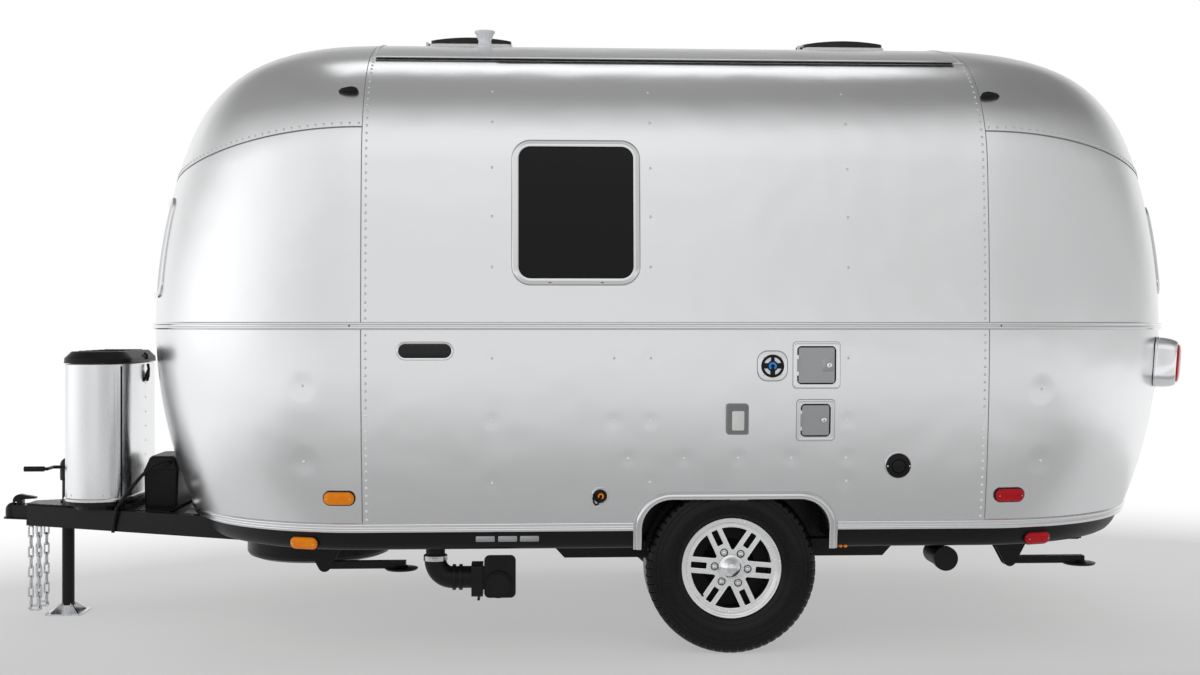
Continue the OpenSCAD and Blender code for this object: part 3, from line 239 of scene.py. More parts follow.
def rounded(x, z, width, height, radius, count=10):
    """Rounded rectangle about a middle point, counter-clockwise."""
    w, h = width / 2 - radius, height / 2 - radius
    corners = [(x + w, z - h, -90), (x + w, z + h, 0), (x - w, z + h, 90), (x - w, z - h, 180)]
    return [p for cx, cz, a in corners for p in arc((cx, cz), radius, a, a + 90, count)]


def resample(loop, step, closed=True):
    """The same outline with no stretch longer than the step."""
    points = []
    ends = loop[1:] + (loop[:1] if closed else [])
    for p, q in zip(loop, ends):
        count = max(1, math.ceil(math.dist(p, q) / step))
        dx, dy = q[0] - p[0], q[1] - p[1]
        points += [(p[0] + dx * i / count, p[1] + dy * i / count) for i in range(count)]
    return points if closed else points + [loop[-1]]


def inside(points, loop):
    """Which points lie inside an outline."""
    x, y = points[:, 0], points[:, 1]
    hit = np.zeros(len(points), bool)
    for (x0, y0), (x1, y1) in zip(loop, loop[1:] + loop[:1]):
        if y0 != y1:
            hit ^= ((y0 > y) != (y1 > y)) & (x < (x1 - x0) * (y - y0) / (y1 - y0) + x0)
    return hit


def within(points, outline, holes):
    """Which points lie in an outline and in none of its holes."""
    keep = inside(points, outline)
    for hole in holes:
        keep &= ~inside(points, hole)
    return keep


# meshes, each shape being its vertices and faces

def stands_for(obj, slot, *nodes):
    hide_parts(*nodes)
    return obj


def piece(name, shapes, finish, node=None, body="caravan", smooth=40):
    """One object of several shapes on a body, smooth except over edges sharper than the angle."""
    verts, faces = [], []
    for shape_verts, shape_faces in shapes:
        first = len(verts)
        verts += [tuple(v) for v in shape_verts]
        faces += [[i + first for i in face] for face in shape_faces]
    mesh = bpy.data.meshes.new(name)
    mesh.from_pydata(verts, [], faces)
    mesh.validate()
    mesh.materials.append(FINISH[finish])
    obj = bpy.data.objects.new(name, mesh)
    bpy.context.scene.collection.objects.link(obj)
    if smooth:
        mesh.shade_smooth()
        mesh.set_sharp_from_angle(angle=math.radians(smooth))
    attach(obj, body)
    if node:
        stands_for(obj, finish, node)
    return obj


def panel(name, face, outline, node, holes=(), step=0.05, depth=WALL_T, lift=0.0, body="caravan",
          finish="alu_skin", lining="lining", squeeze=None):
    """A sheet on a face: the outline less its holes, with a thickness and the surface's own normals."""
    outline = resample(outline, step)
    holes = [resample(h, step) for h in holes]
    points, edges = [], []
    for loop in (outline, *holes):
        first = len(points)
        points += loop
        edges += [(first + i, first + (i + 1) % len(loop)) for i in range(len(loop))]
    rim = np.array(points)
    low, high = rim.min(0), rim.max(0)
    xs, ys = (np.arange(low[k] + step / 2, high[k], step) for k in (0, 1))
    grid = np.array([(x, y) for y in ys for x in xs])
    apart = [np.min((rim[:, 0] - x) ** 2 + (rim[:, 1] - y) ** 2) > (0.5 * step) ** 2 for x, y in grid]
    keep = within(grid, outline, holes) & np.array(apart)
    points += [tuple(p) for p in grid[keep]]
    flat, _, tris, *_ = delaunay_2d_cdt([Vector(p) for p in points], edges, [], 0, 1e-7)
    middles = np.array([np.mean([flat[i] for i in t], 0) for t in tris])
    tris = [list(t) for t, k in zip(tris, within(middles, outline, holes)) if k]

    count = len(flat)
    place = squeeze or (lambda p: p)
    outer = [place(face(p.x, p.y, lift)) for p in flat]
    inner = [place(face(p.x, p.y, lift - depth)) for p in flat]
    normals = [normal_at(face, p.x, p.y, lift) for p in flat]
    a, b, c = (outer[i] for i in tris[0])
    if (b - a).cross(c - a).dot(normals[tris[0][0]]) < 0:
        tris = [t[::-1] for t in tris]
    used = dict.fromkeys(edge for t in tris for edge in zip(t, t[1:] + t[:1]))
    faces = tris + [[i + count for i in reversed(t)] for t in tris]
    faces += [[j, i, i + count, j + count] for i, j in used if (j, i) not in used]
    obj = piece(name, [(outer + inner, faces)], finish, node, body, smooth=0)
    mesh = obj.data
    mesh.materials.append(FINISH[lining])
    mesh.shade_smooth()
    loops = []
    for poly in mesh.polygons:
        ids = list(poly.vertices)
        if poly.index < len(tris):
            loops += [normals[i] for i in ids]
        elif poly.index < 2 * len(tris):
            poly.material_index = 1
            loops += [-normals[i - count] for i in ids]
        else:
            loops += [poly.normal.copy() for _ in ids]
    mesh.normals_split_custom_set(loops)
    return obj


def loft(rows, closed=False):
    """A skin over loops of points, one after another, that looks outwards."""
    n, count = len(rows[0]), len(rows)
    mesh = bmesh.new()
    points = [mesh.verts.new(p) for row in rows for p in row]
    for r in range(count if closed else count - 1):
        near, far = r * n, (r + 1) % count * n
        for i in range(n):
            j = (i + 1) % n
            mesh.faces.new([points[k] for k in (near + i, far + i, far + j, near + j)])
    if not closed:
        mesh.faces.new(points[:n])
        mesh.faces.new(points[:-n - 1:-1])
    bmesh.ops.remove_doubles(mesh, verts=mesh.verts, dist=1e-6)
    bmesh.ops.recalc_face_normals(mesh, faces=mesh.faces)
    mesh.verts.index_update()
    verts = [v.co.copy() for v in mesh.verts]
    faces = [[v.index for v in f.verts] for f in mesh.faces]
    mesh.free()
    return verts, faces


def edge_data(face, path, section, closed=True):
    """A strip along a path on a face: section points are (in from the path, out of the face)."""
    rows = []
    count = len(path)
    for i, p in enumerate(path):
        before = path[i - 1] if closed or i else p
        after = path[(i + 1) % count] if closed or i < count - 1 else p
        way = Vector(after) - Vector(before)
        way.normalize()
        rows.append([face(p[0] - s * way.y, p[1] + s * way.x, o) for s, o in section])
    return loft(rows, closed)


def turns_of(count):
    """Even angles round a circle."""
    return [2 * math.pi * k / count for k in range(count)]


def revolve_data(section, place, segments=48):
    """A closed section (radius, along) turned about the local Z axis of a matrix."""
    rows = [[place @ Vector((*polar(r, a), z)) for r, z in section] for a in turns_of(segments)]
    return loft(rows, closed=True)


def pointing(place, direction, up=(0, 0, 1)):
    """Matrix with its Z axis along a direction and its Y axis as near to up as can be."""
    z = Vector(direction).normalized()
    x = Vector(up).cross(z)
    x = x.normalized() if x.length > 1e-6 else Vector((1, 0, 0))
    turn = Matrix((x, z.cross(x), z)).transposed().to_4x4()
    return Matrix.Translation(place) @ turn


def moved(place, *offset):
    """A matrix moved along its own axes."""
    return place @ Matrix.Translation(offset)


def dome_data(place, radius, height, rings=3, segments=10, sink=0.0015):
    """A closed low dome on a matrix."""
    turns = turns_of(segments)
    verts = [place @ Vector((0, 0, height))]
    for k in range(1, rings + 1):
        a = math.pi / 2 * k / rings
        verts += [place @ Vector((*polar(radius * math.sin(a), t), height * math.cos(a))) for t in turns]
    foot = len(verts)
    verts += [place @ Vector((*polar(radius, t), -sink)) for t in turns]
    pairs = [(s, (s + 1) % segments) for s in range(segments)]
    faces = [[0, 1 + s, 1 + t] for s, t in pairs]
    for k in range(rings):
        low, high = 1 + (k + 1) * segments, 1 + k * segments
        faces += [[high + s, low + s, low + t, high + t] for s, t in pairs]
    faces.append([foot + s for s in reversed(range(segments))])
    return verts, faces


def plate_data(place, width, height, radius, levels):
    """A closed plate on a matrix: rounded outlines, each (grown by, height)."""
    rows = []
    for grow, up in levels:
        outline = rounded(0, 0, width + 2 * grow, height + 2 * grow, max(0.0004, radius + grow))
        rows.append([place @ Vector((x, y, up)) for x, y in outline])
    return loft(rows)


def stack_data(place, outline, levels):
    """A closed stack of one outline, each level (scale, height)."""
    return loft([[place @ Vector((x * s, y * s, up)) for x, y in outline] for s, up in levels])


def box_data(low, high):
    """A box between two corners, with its edges eased."""
    low, high = Vector(low), Vector(high)
    size = high - low
    eased = min(size) * 0.12
    middle = Matrix.Translation(((low.x + high.x) / 2, (low.y + high.y) / 2, low.z))
    levels = ((-eased * 0.6, 0), (0, eased), (0, size.z - eased), (-eased * 0.6, size.z))
    return plate_data(middle, size.x, size.y, eased, levels)


def rod_data(path, radius, segments=12):
    """A round rod along a path of points."""
    path = [Vector(p) for p in path]
    rows = []
    side = None
    for i, p in enumerate(path):
        way = (path[min(i + 1, len(path) - 1)] - path[max(i - 1, 0)]).normalized()
        if side is None:
            side = way.orthogonal().normalized()
        side = (side - way * side.dot(way)).normalized()
        other = way.cross(side)
        rows.append([p + radius * (math.cos(t) * side + math.sin(t) * other) for t in turns_of(segments)])
    return loft(rows)


def on_wall(x, z, lift=0.0):
    """Matrix on the road side's wall, its Z axis out of the wall and its Y axis up."""
    return pointing(LEFT(x, z, lift), normal_at(LEFT, x, z))


def on_cap(u, rear, z, lift=0.0):
    """Matrix on a cap, u in degrees from the road side."""
    face, a = cap_face(rear), math.radians(u) * CAP_SCALE
    return pointing(face(a, z, lift), normal_at(face, a, z))


# nodes of finishes and light

def add_node(tree, kind, inputs=(), **settings):
    """A new node, its inputs linked where a socket is given and set where a value is."""
    node = tree.nodes.new("ShaderNode" + kind)
    for key, value in settings.items():
        setattr(node, key, value)
    for key, value in dict(inputs).items():
        if isinstance(value, bpy.types.NodeSocket):
            tree.links.new(value, node.inputs[key])
        else:
            node.inputs[key].default_value = value
    return node


def remap(tree, value, low, high, start=0.0, end=1.0, between="LINEAR"):
    """A value between two limits, carried over to start and end."""
    limits = {"Value": value, "From Min": low, "From Max": high, "To Min": start, "To Max": end}
    return add_node(tree, "MapRange", limits, interpolation_type=between).outputs["Result"]


def combine(tree, operation, first, second):
    return add_node(tree, "Math", {0: first, 1: second}, operation=operation).outputs["Value"]


def colour_ramp(tree, value, stops, between="LINEAR"):
    """Colours along a value from 0 to 1."""
    node = add_node(tree, "ValToRGB", {"Fac": value})
    ramp = node.color_ramp
    ramp.interpolation = between
    while len(ramp.elements) < len(stops):
        ramp.elements.new(0.5)
    for stop, (at, colour) in zip(ramp.elements, stops):
        stop.position = at
        stop.color = (*colour, 1)
    return node.outputs["Color"]


def grey_ramp(tree, value, levels, between="LINEAR"):
    return colour_ramp(tree, value, [(at, (level,) * 3) for at, level in levels], between)


def relief(tree, height, depth):
    """Bumps the shader of a finish by a height."""
    bump = add_node(tree, "Bump", {"Height": height, "Strength": 1.0, "Distance": depth})
    tree.links.new(bump.outputs["Normal"], tree.nodes["Principled BSDF"].inputs["Normal"])


# finishes

def finish_of(name, colour, rough, metallic, scale, spread, tint, bump=0.0, grain=(1, 1, 1), sheen=0.5):
    """A finish whose colour and roughness wander with a noise stretched along its grain."""
    mat = bpy.data.materials.new(name)
    mat.use_nodes = True
    tree = mat.node_tree
    shader = tree.nodes["Principled BSDF"]
    shader.inputs["Metallic"].default_value = metallic
    shader.inputs["Specular IOR Level"].default_value = sheen
    where = add_node(tree, "TexCoord").outputs["Object"]
    along = add_node(tree, "Mapping", {"Vector": where, "Scale": grain}).outputs["Vector"]
    noise = add_node(tree, "TexNoise", {"Vector": along, "Scale": scale, "Detail": 4}).outputs["Fac"]
    roughness = remap(tree, noise, 0.3, 0.7, max(0.02, rough - spread), min(1.0, rough + spread))
    tree.links.new(roughness, shader.inputs["Roughness"])
    shades = [[min(1.0, c * share) for c in colour] for share in (1 - tint, 1 + tint)]
    tree.links.new(colour_ramp(tree, noise, list(zip((0.3, 0.7), shades))), shader.inputs["Base Color"])
    if bump:
        relief(tree, noise, bump)
    return mat


def sheet_metal():
    """Satin aluminium sheet: fine rolling lines, a slow waviness, a shallow dent round single rivets."""
    mat = finish_of("alu_skin", (0.86, 0.865, 0.875), 0.25, 1.0, 12, 0.02, 0.006, grain=(0.6, 60, 60))
    tree = mat.node_tree
    where = add_node(tree, "TexCoord").outputs["Object"]
    height = add_node(tree, "TexNoise", {"Vector": where, "Scale": 4.0, "Detail": 1.0}).outputs["Fac"]
    for rivets, reach, depth in ((DENTED_RIVETS, 0.05, 0.17), (CAP_RIVETS, 0.075, 0.5)):
        for face, across, up in rivets:
            gap = add_node(tree, "VectorMath", {0: where, 1: face(across, up, 0.0)}, operation="DISTANCE")
            dent = remap(tree, gap.outputs["Value"], 0.004, reach, -depth, 0, "SMOOTHSTEP")
            height = combine(tree, "ADD", height, dent)
    relief(tree, height, 0.0045)
    return mat


# colour, roughness, metal, scale of the noise, spread of the roughness, tint, bump
FINISH_VALUES = {
    "lining": ((0.72, 0.70, 0.66), 0.55, 0, 25, 0.05, 0.04, 0.0004),
    "alu_trim": ((0.80, 0.805, 0.815), 0.14, 1.0, 14, 0.04, 0.02),
    "steel_cover": ((0.84, 0.845, 0.855), 0.26, 1.0, 14, 0.02, 0.012),
    "black_plastic": ((0.007, 0.007, 0.008), 0.4, 0, 260, 0.08, 0.2, 0.0002),
    "smoke_plastic": ((0.012, 0.012, 0.013), 0.16, 0, 30, 0.05, 0.1),
    "white_plastic": ((0.78, 0.78, 0.76), 0.35, 0, 60, 0.06, 0.03),
    "grey_plastic": ((0.2, 0.205, 0.21), 0.4, 0, 160, 0.06, 0.05, 0.0001),
    "black_steel": ((0.007, 0.007, 0.008), 0.32, 0, 120, 0.1, 0.25, 0.0002),
    # dark undercoat, also used as painted shade inside the rim barrel
    "undercoat": ((0.02, 0.02, 0.021), 0.6, 0, 90, 0.1, 0.3, 0.0004),
    "zinc": ((0.70, 0.71, 0.73), 0.24, 1.0, 45, 0.1, 0.14, 0.0001),
    "bottle_paint": ((0.74, 0.74, 0.72), 0.3, 0, 30, 0.08, 0.04),
    "alloy": ((0.93, 0.935, 0.94), 0.24, 0.5, 70, 0.04, 0.02),
    # darker copy of the alloy for the rim's back and opening walls: painted shade
    "alloy_shade": ((0.40, 0.405, 0.415), 0.34, 1.0, 70, 0.05, 0.04),
    "tyre": ((0.006, 0.006, 0.0065), 0.22, 0, 180, 0.06, 0.25, 0.0001),
    "glass": ((0.002, 0.002, 0.003), 0.05, 0, 6, 0.02, 0.1),
    "amber": ((1.0, 0.27, 0.004), 0.14, 0, 40, 0.04, 0.1),
    "red": ((0.5, 0.004, 0.012), 0.14, 0, 40, 0.04, 0.1),
    "chrome": ((0.86, 0.87, 0.88), 0.08, 1.0, 20, 0.03, 0.02),
    "grey_satin": ((0.42, 0.425, 0.435), 0.42, 1.0, 14, 0.05, 0.03),
    "pale_clear": ((0.80, 0.81, 0.85), 0.2, 0, 40, 0.06, 0.05),
    "blue": ((0.012, 0.27, 0.85), 0.3, 0, 40, 0.05, 0.08),
    # black rubber, also used as painted shade in small holes and gaps
    "rubber": ((0.007, 0.007, 0.007), 0.5, 0, 150, 0.1, 0.2, 0.0002),
    # rivet finishes: a darker copy of the metal as painted shade, a near-white one as painted highlight
    "rivet": ((0.7, 0.705, 0.715), 0.14, 1.0, 60, 0.06, 0.06),
    "rivet_low": ((0.97, 0.975, 0.98), 0.3, 0.1, 60, 0.06, 0.02),
    "sealant": ((0.24, 0.24, 0.245), 0.5, 0, 80, 0.08, 0.08),
    "ply": ((0.46, 0.33, 0.21), 0.5, 0, 8, 0.08, 0.18, 0.0003),
}
GRAIN = {"alu_trim": (1, 40, 40), "steel_cover": (40, 40, 1.2), "grey_satin": (1, 30, 30), "ply": (2, 30, 30)}
DULL = "black_plastic black_steel undercoat tyre glass amber red rubber sealant".split()
SHEEN = {"smoke_plastic": 0.3, **dict.fromkeys(DULL, 0.22)}

FINISH = {"alu_skin": sheet_metal()}
for name, values in FINISH_VALUES.items():
    FINISH[name] = finish_of(name, *values, grain=GRAIN.get(name, (1, 1, 1)), sheen=SHEEN.get(name, 0.5))

SLOT_NODES = {
    "alu_skin": "side_wall_left side_wall_right roof_panel front_cap_lower front_cap_dome rear_cap_lower"
                " rear_cap_dome entry_door",
    "alu_trim": "belt_trim rub_rail arch_trims awning_rails window_frames door_trim hatch_frames door_hinges",
    "steel_cover": "gas_cover",
    "grey_satin": "hatch_door_upper hatch_door_lower",
    "black_plastic": "skirt side_inlets clearance_lamps gas_lid battery_box tow_cable drain_pipes",
    "smoke_plastic": "vent_lid_front vent_lid_rear",
    "white_plastic": "roof_cap_vent vent_bases",
    "grey_plastic": "vent_box",
    "black_steel": "chassis_rails cross_members tongue_bars tongue_plates coupler jack axle stabilizers"
                   " entry_step wheel_wells spare_wheel hub_left hub_right",
    "zinc": "safety_chains",
    "undercoat": "belly_pan",
    "bottle_paint": "gas_bottles",
    "alloy": "rim_left rim_right",
    "tyre": "tyre_left tyre_right",
    "glass": "window_glass door_glass",
    "amber": "lamps_amber",
    "red": "lamps_red",
    "chrome": "door_handle tail_lamp_pods",
    "ply": "floor_deck",
}
for slot, names in SLOT_NODES.items():
    for node in names.split():
        NODES[node].data.materials.clear()
        NODES[node].data.materials.append(FINISH[slot])


def repaint(mesh, finish, chosen):
    """Gives the chosen faces of a mesh a finish of their own."""
    mesh.materials.append(FINISH[finish])
    for poly in mesh.polygons:
        if chosen(poly.center):
            poly.material_index = len(mesh.materials) - 1


JACK_ZINC_Z, HANDLE_BASE = 0.055, 0.0085
repaint(NODES["jack"].data, "zinc", lambda p: p.z < JACK_ZINC_Z)
repaint(NODES["door_handle"].data, "black_plastic", lambda p: p.y < RIGHT(p.x, p.z, HANDLE_BASE).y)


# openings of the shell: windows as (across, up, width, height, corner), hatches without a corner

def end_window(width, low, trim):
    """Window of a cap, between the belt and the seam."""
    z0, z1 = BELT_Z + low, SEAM_Z - SEAM_DROP - trim
    return (0, (z0 + z1) / 2, width, z1 - z0, 0.07)


WINDOW = (AXLE_X - 0.655, 1.837, 0.522, 0.594, 0.076)
kerb_low, kerb_high = AXLE_X - 0.15, SEAM_R - 0.303
KERB_WINDOW = ((kerb_low + kerb_high) / 2, WINDOW[1], kerb_high - kerb_low, *WINDOW[3:])
SIDE_WINDOWS = ((LEFT, WINDOW), (RIGHT, KERB_WINDOW))
END_WINDOWS = ((False, "front", end_window(1.04, 0.126, 0.08)), (True, "rear", end_window(0.96, 0.146, 0.1)))
HATCHES = {"hatch_upper": (AXLE_X + 0.334, 1.212, 0.194, 0.190),
           "hatch_lower": (AXLE_X + 0.332, 0.985, 0.157, 0.169)}
HATCH_EDGE, HATCH_CORNER, HATCH_HOLE_R = 0.016, 0.014, 0.02


def window_hole(x, z, width, height, radius, grow=-0.012):
    return rounded(x, z, width + 2 * grow, height + 2 * grow, radius + grow)


def door_outline(grow=0.0):
    return window_hole(DOOR_X + DOOR_W / 2, DOOR_Z + DOOR_H / 2, DOOR_W, DOOR_H, DOOR_R, grow)


def arch_outline(foot):
    """Wheel arch opening, from the front foot up and over to the rear foot."""
    front = arc((ARCH_X - ARCH_HALF + ARCH_R, ARCH_Z - ARCH_R), ARCH_R, 180, 90)
    rear = arc((ARCH_X + ARCH_HALF - ARCH_R, ARCH_Z - ARCH_R), ARCH_R, 90, 0)
    return [(ARCH_X - ARCH_HALF, foot)] + front + rear + [(ARCH_X + ARCH_HALF, foot)]


# shell panels

arch = [p for p in arch_outline(WALL_Z0) if p[1] >= WALL_Z0]
wall = [(SEAM_F, WALL_Z0)] + arch + [(SEAM_R, WALL_Z0), (SEAM_R, GUTTER_Z), (SEAM_F, GUTTER_Z)]
road_holes = [window_hole(*WINDOW)]
road_holes += [rounded(x, z, w - 2 * HATCH_EDGE, h - 2 * HATCH_EDGE, HATCH_HOLE_R)
               for x, z, w, h in HATCHES.values()]
kerb_holes = [window_hole(*KERB_WINDOW), door_outline(DOOR_GAP)]
panel("skin_wall_left", LEFT, wall, "side_wall_left", road_holes, lift=LAP_MID)
panel("skin_wall_right", RIGHT, wall, "side_wall_right", kerb_holes, lift=LAP_MID)

gutter_y = side_y(GUTTER_Z)
roof_edge = [(SEAM_F, -gutter_y), (SEAM_R, -gutter_y), (SEAM_R, gutter_y), (SEAM_F, gutter_y)]
panel("skin_roof", roof_face, roof_edge, "roof_panel", step=0.07, lift=LAP_MID)

for rear, end, window in END_WINDOWS:
    top = [(u * CAP_SCALE, cap_seam(u) - SEAM_GAP) for u in np.linspace(0, math.pi, 61)]
    outline = [(0, WALL_Z0), (CAP_ACROSS, WALL_Z0)] + top[::-1]
    hole = [(math.acos(-y / side_y(z)) * CAP_SCALE, z) for y, z in window_hole(*window)]
    panel(f"skin_{end}_lower", cap_face(rear), outline, f"{end}_cap_lower", [hole])
    dome = [(0, 0), (CAP_ACROSS, 0), (CAP_ACROSS, 1), (0, 1)]
    panel(f"skin_{end}_dome", dome_face(rear), dome, f"{end}_cap_dome", lift=LAP_DOME)


def door_edge(p):
    """Brings the latch edge of the door in along the circle it swings on."""
    reach = DOOR_X + DOOR_W - HINGE_X
    end = HINGE_X + math.sqrt(reach ** 2 - (HINGE_Y - p.y) ** 2)
    share = (p.x - DOOR_X) / DOOR_W
    return Vector((DOOR_X + share * (end - DOOR_X), p.y, p.z))


pane_low, pane_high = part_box("door_glass")
pane_size, pane_middle = pane_high - pane_low, (pane_low + pane_high) / 2
DOOR_PANE_R, DOOR_PANE_GAP = 0.034, 0.016
door_hole = window_hole(pane_middle.x, pane_middle.z, pane_size.x, pane_size.z, DOOR_PANE_R, DOOR_PANE_GAP)
panel("skin_door", RIGHT, door_outline(), "entry_door", [door_hole], lift=LAP_MID, body="door",
      squeeze=door_edge)


# trims round the body, section points being (out, height)

def side_run(x0, x1, side):
    return [(x, 0, side) for x in np.linspace(x0, x1, max(2, math.ceil(abs(x1 - x0) / 0.1)))]


def cap_run(rear, start=0.0, end=math.pi, count=96):
    return [cap_station(u, rear) for u in np.linspace(start, end, count + 1)][1:-1]


def band(name, runs, section, finish, node):
    """Strips swept round the body."""
    piece(name, [loft([[skin(s, z, o) for o, z in section] for s in run]) for run in runs], finish, node)


front_round = cap_run(False)
rear_round = cap_run(True)[::-1]
arch_f, arch_b = ARCH_X - ARCH_GAP, ARCH_X + ARCH_GAP

belt_section = [(0.0002, -0.0165), (0.009, -0.0165), *arc((0.008, -0.0085), 0.007, -90, 60, 6),
                *arc((0.008, 0.0085), 0.007, -60, 90, 6), (0.0002, 0.0165)]
belt_path = (side_run(DOOR_X + DOOR_W + DOOR_GAP, SEAM_R, KERB) + rear_round + side_run(SEAM_R, SEAM_F, ROAD)
             + front_round + side_run(SEAM_F, DOOR_X - DOOR_GAP, KERB))
band("trim_belt", [belt_path], [(o, BELT_Z + z) for o, z in belt_section], "alu_trim", "belt_trim")

rail_section = [(0.0002, 0.5245), *arc((0.0005, 0.5335), 0.0085, -80, 80, 8), (0.0035, 0.5445),
                *arc((0.0005, 0.5555), 0.0085, -80, 80, 8), (0.0002, 0.566)]
rail_front = side_run(arch_f, SEAM_F, ROAD) + front_round + side_run(SEAM_F, arch_f, KERB)
rail_rear = side_run(arch_b, SEAM_R, KERB) + rear_round + side_run(SEAM_R, arch_b, ROAD)
band("trim_rub_rail", [rail_front, rail_rear], rail_section, "alu_trim", "rub_rail")

SKIRT_Z0, skirt_top = 0.447, WALL_Z0 - 0.0003
skirt_section = [(-0.009, skirt_top), (-0.0095, 0.5), (-0.0105, 0.485), (-0.0145, 0.47), (-0.021, 0.4575),
                 (-0.031, 0.4505), (-0.044, SKIRT_Z0), (-0.052, 0.453), (-0.037, 0.459), (-0.0265, 0.47),
                 (-0.0225, 0.485), (-0.021, skirt_top)]
open_u = math.acos(0.5)
skirt_left = cap_run(False, 0, open_u, 30)[::-1] + side_run(SEAM_F, arch_f, ROAD)
skirt_right = cap_run(False, math.pi, math.pi - open_u, 30)[::-1] + side_run(SEAM_F, arch_f, KERB)
band("skirt_panels", [skirt_left, skirt_right, rail_rear], skirt_section, "black_plastic", "skirt")

# arch trims and windows, section points being (in from the path, out of the face)

PATH_STEP = 0.03
BEAD_R, BEAD_UP, BEAD_RISE = 0.0135, 0.0045, 0.0095
half_round = [(BEAD_R + BEAD_R * math.cos(t), BEAD_UP + BEAD_RISE * math.sin(t))
              for t in np.radians(range(15, 180, 15))]
arch_section = [(0.036, 0.0003), (0.036, 0.004), (0.0355, BEAD_UP), (0.028, BEAD_UP), *half_round,
                (0.0, 0.0003)]
arch_path = resample(arch_outline(SKIRT_Z0), PATH_STEP, closed=False)
arches = [edge_data(face, arch_path, arch_section, closed=False) for face in (LEFT, RIGHT)]
piece("trim_arches", arches, "alu_trim", "arch_trims")

frame_section = [(0.0, 0.0003), (0.0, 0.006), (0.002, 0.0085), (0.006, 0.0098), (0.012, 0.0102),
                 (0.015, 0.0118), (0.021, 0.012), (0.026, 0.0105), (0.028, 0.007), (0.028, -WALL_T),
                 (0.0125, -WALL_T), (0.0125, 0.0003)]
frames = [edge_data(face, rounded(*window), frame_section) for face, window in SIDE_WINDOWS]
frames += [edge_data(end_face(rear), resample(rounded(*window), PATH_STEP), frame_section)
           for rear, _, window in END_WINDOWS]
piece("trim_windows", frames, "alu_trim", "window_frames")

PANE_IN, PANE_T, PANE_LIFT = 0.0283, 0.006, 0.002
panes = [("road", LEFT, WINDOW), ("kerb", RIGHT, KERB_WINDOW)]
panes += [(end, end_face(rear), window) for rear, end, window in END_WINDOWS]
for name, face, window in panes:
    panel(f"pane_{name}", face, window_hole(*window, -PANE_IN), "window_glass", step=0.04, depth=PANE_T,
          lift=PANE_LIFT, finish="glass", lining="glass")

# weep holes in the window frame, drawn as dark slots on it: painted shade of the holes
WEEP_SIZE, WEEP_X, WEEP_OUT = (0.014, 0.0035, 0.0015), 0.107, 0.0092
weep_z = WINDOW[1] - WINDOW[3] / 2 + 0.0095
weep_levels = ((0, 0), (0, 0.0006), (-0.0005, 0.0012))
weeps = [plate_data(on_wall(WINDOW[0] + k * WEEP_X, weep_z, WEEP_OUT), *WEEP_SIZE, weep_levels)
         for k in BOTH]
piece("window_weep_shades", weeps, "rubber")


# rivets; the row of a dome is a share of the way from its seam to the roof

ROW_STEP, ROW_FOOT, RIVET_PITCH, RIVET_IN = 0.004, 0.05, 0.033, 0.016
DOME_ROW, DOME_END, DOME_STEP, DOME_PITCH = 0.016, 0.02, 0.003, 0.036
BELT_CLEAR, GUTTER_CLEAR, RAIL_CLEAR_Z = 0.022, 0.018, 0.575
PAINTED_HIGHLIGHT_RIVETS_Z = 1.03


def section_path(x):
    """Places over the body's section at x, from the road side's foot to the kerb side's."""
    rows = [(LEFT, x, z) for z in np.arange(WALL_Z0 + ROW_FOOT, GUTTER_Z, ROW_STEP)]
    rows += [(roof_face, x, y) for y in np.arange(-gutter_y + ROW_STEP / 2, gutter_y, ROW_STEP)]
    rows += [(RIGHT, x, z) for z in np.arange(GUTTER_Z, WALL_Z0 + ROW_FOOT, -ROW_STEP)]
    return rows


def spaced(rows, pitch):
    """The rows that come at an even pitch along their path."""
    picked, left, last = [], 0.0, None
    for face, a, b in rows:
        p = face(a, b, 0.0)
        left -= (p - last).length if last else 0.0
        last = p
        if left <= 0:
            picked.append((face, a, b))
            left += pitch
    return picked


def rivet_data(face, a, b, lift, radius=0.0056, height=0.0034):
    return dome_data(pointing(face(a, b, lift), normal_at(face, a, b)), radius, height)


def clear_of_trims(row):
    """Whether a rivet misses the belt, the rub rail and the gutter."""
    face, a, b = row
    z = face(a, b, 0.0).z
    at_gutter = face is not roof_face and abs(z - GUTTER_Z) < GUTTER_CLEAR
    return abs(z - BELT_Z) > BELT_CLEAR and z > RAIL_CLEAR_Z and not at_gutter


mid_rows, dome_rows = [], []
for x in (SEAM_F + RIVET_IN, SEAM_R - RIVET_IN):
    mid_rows += spaced(section_path(x), RIVET_PITCH)
for rear in (False, True):
    row = [(dome_face(rear), a, DOME_ROW) for a in np.arange(DOME_END, CAP_ACROSS - DOME_END, DOME_STEP)]
    dome_rows += spaced(row, DOME_PITCH)
mid_rows += ROAD_RIVETS + KERB_RIVETS
rivet_rows = ((mid_rows, LAP_MID), (dome_rows, LAP_DOME), (CAP_RIVETS, 0.0))
rivets = [rivet_data(*row, lift) for rows, lift in rivet_rows for row in rows if clear_of_trims(row)]
shell_rivets = piece("rivets_shell", rivets, "rivet")
# Rivets below a set height take the near-white finish as painted highlights; the others keep the darker one
# as painted shade.
repaint(shell_rivets.data, "rivet_low", lambda p: p.z < PAINTED_HIGHLIGHT_RIVETS_Z)

# seam sealant

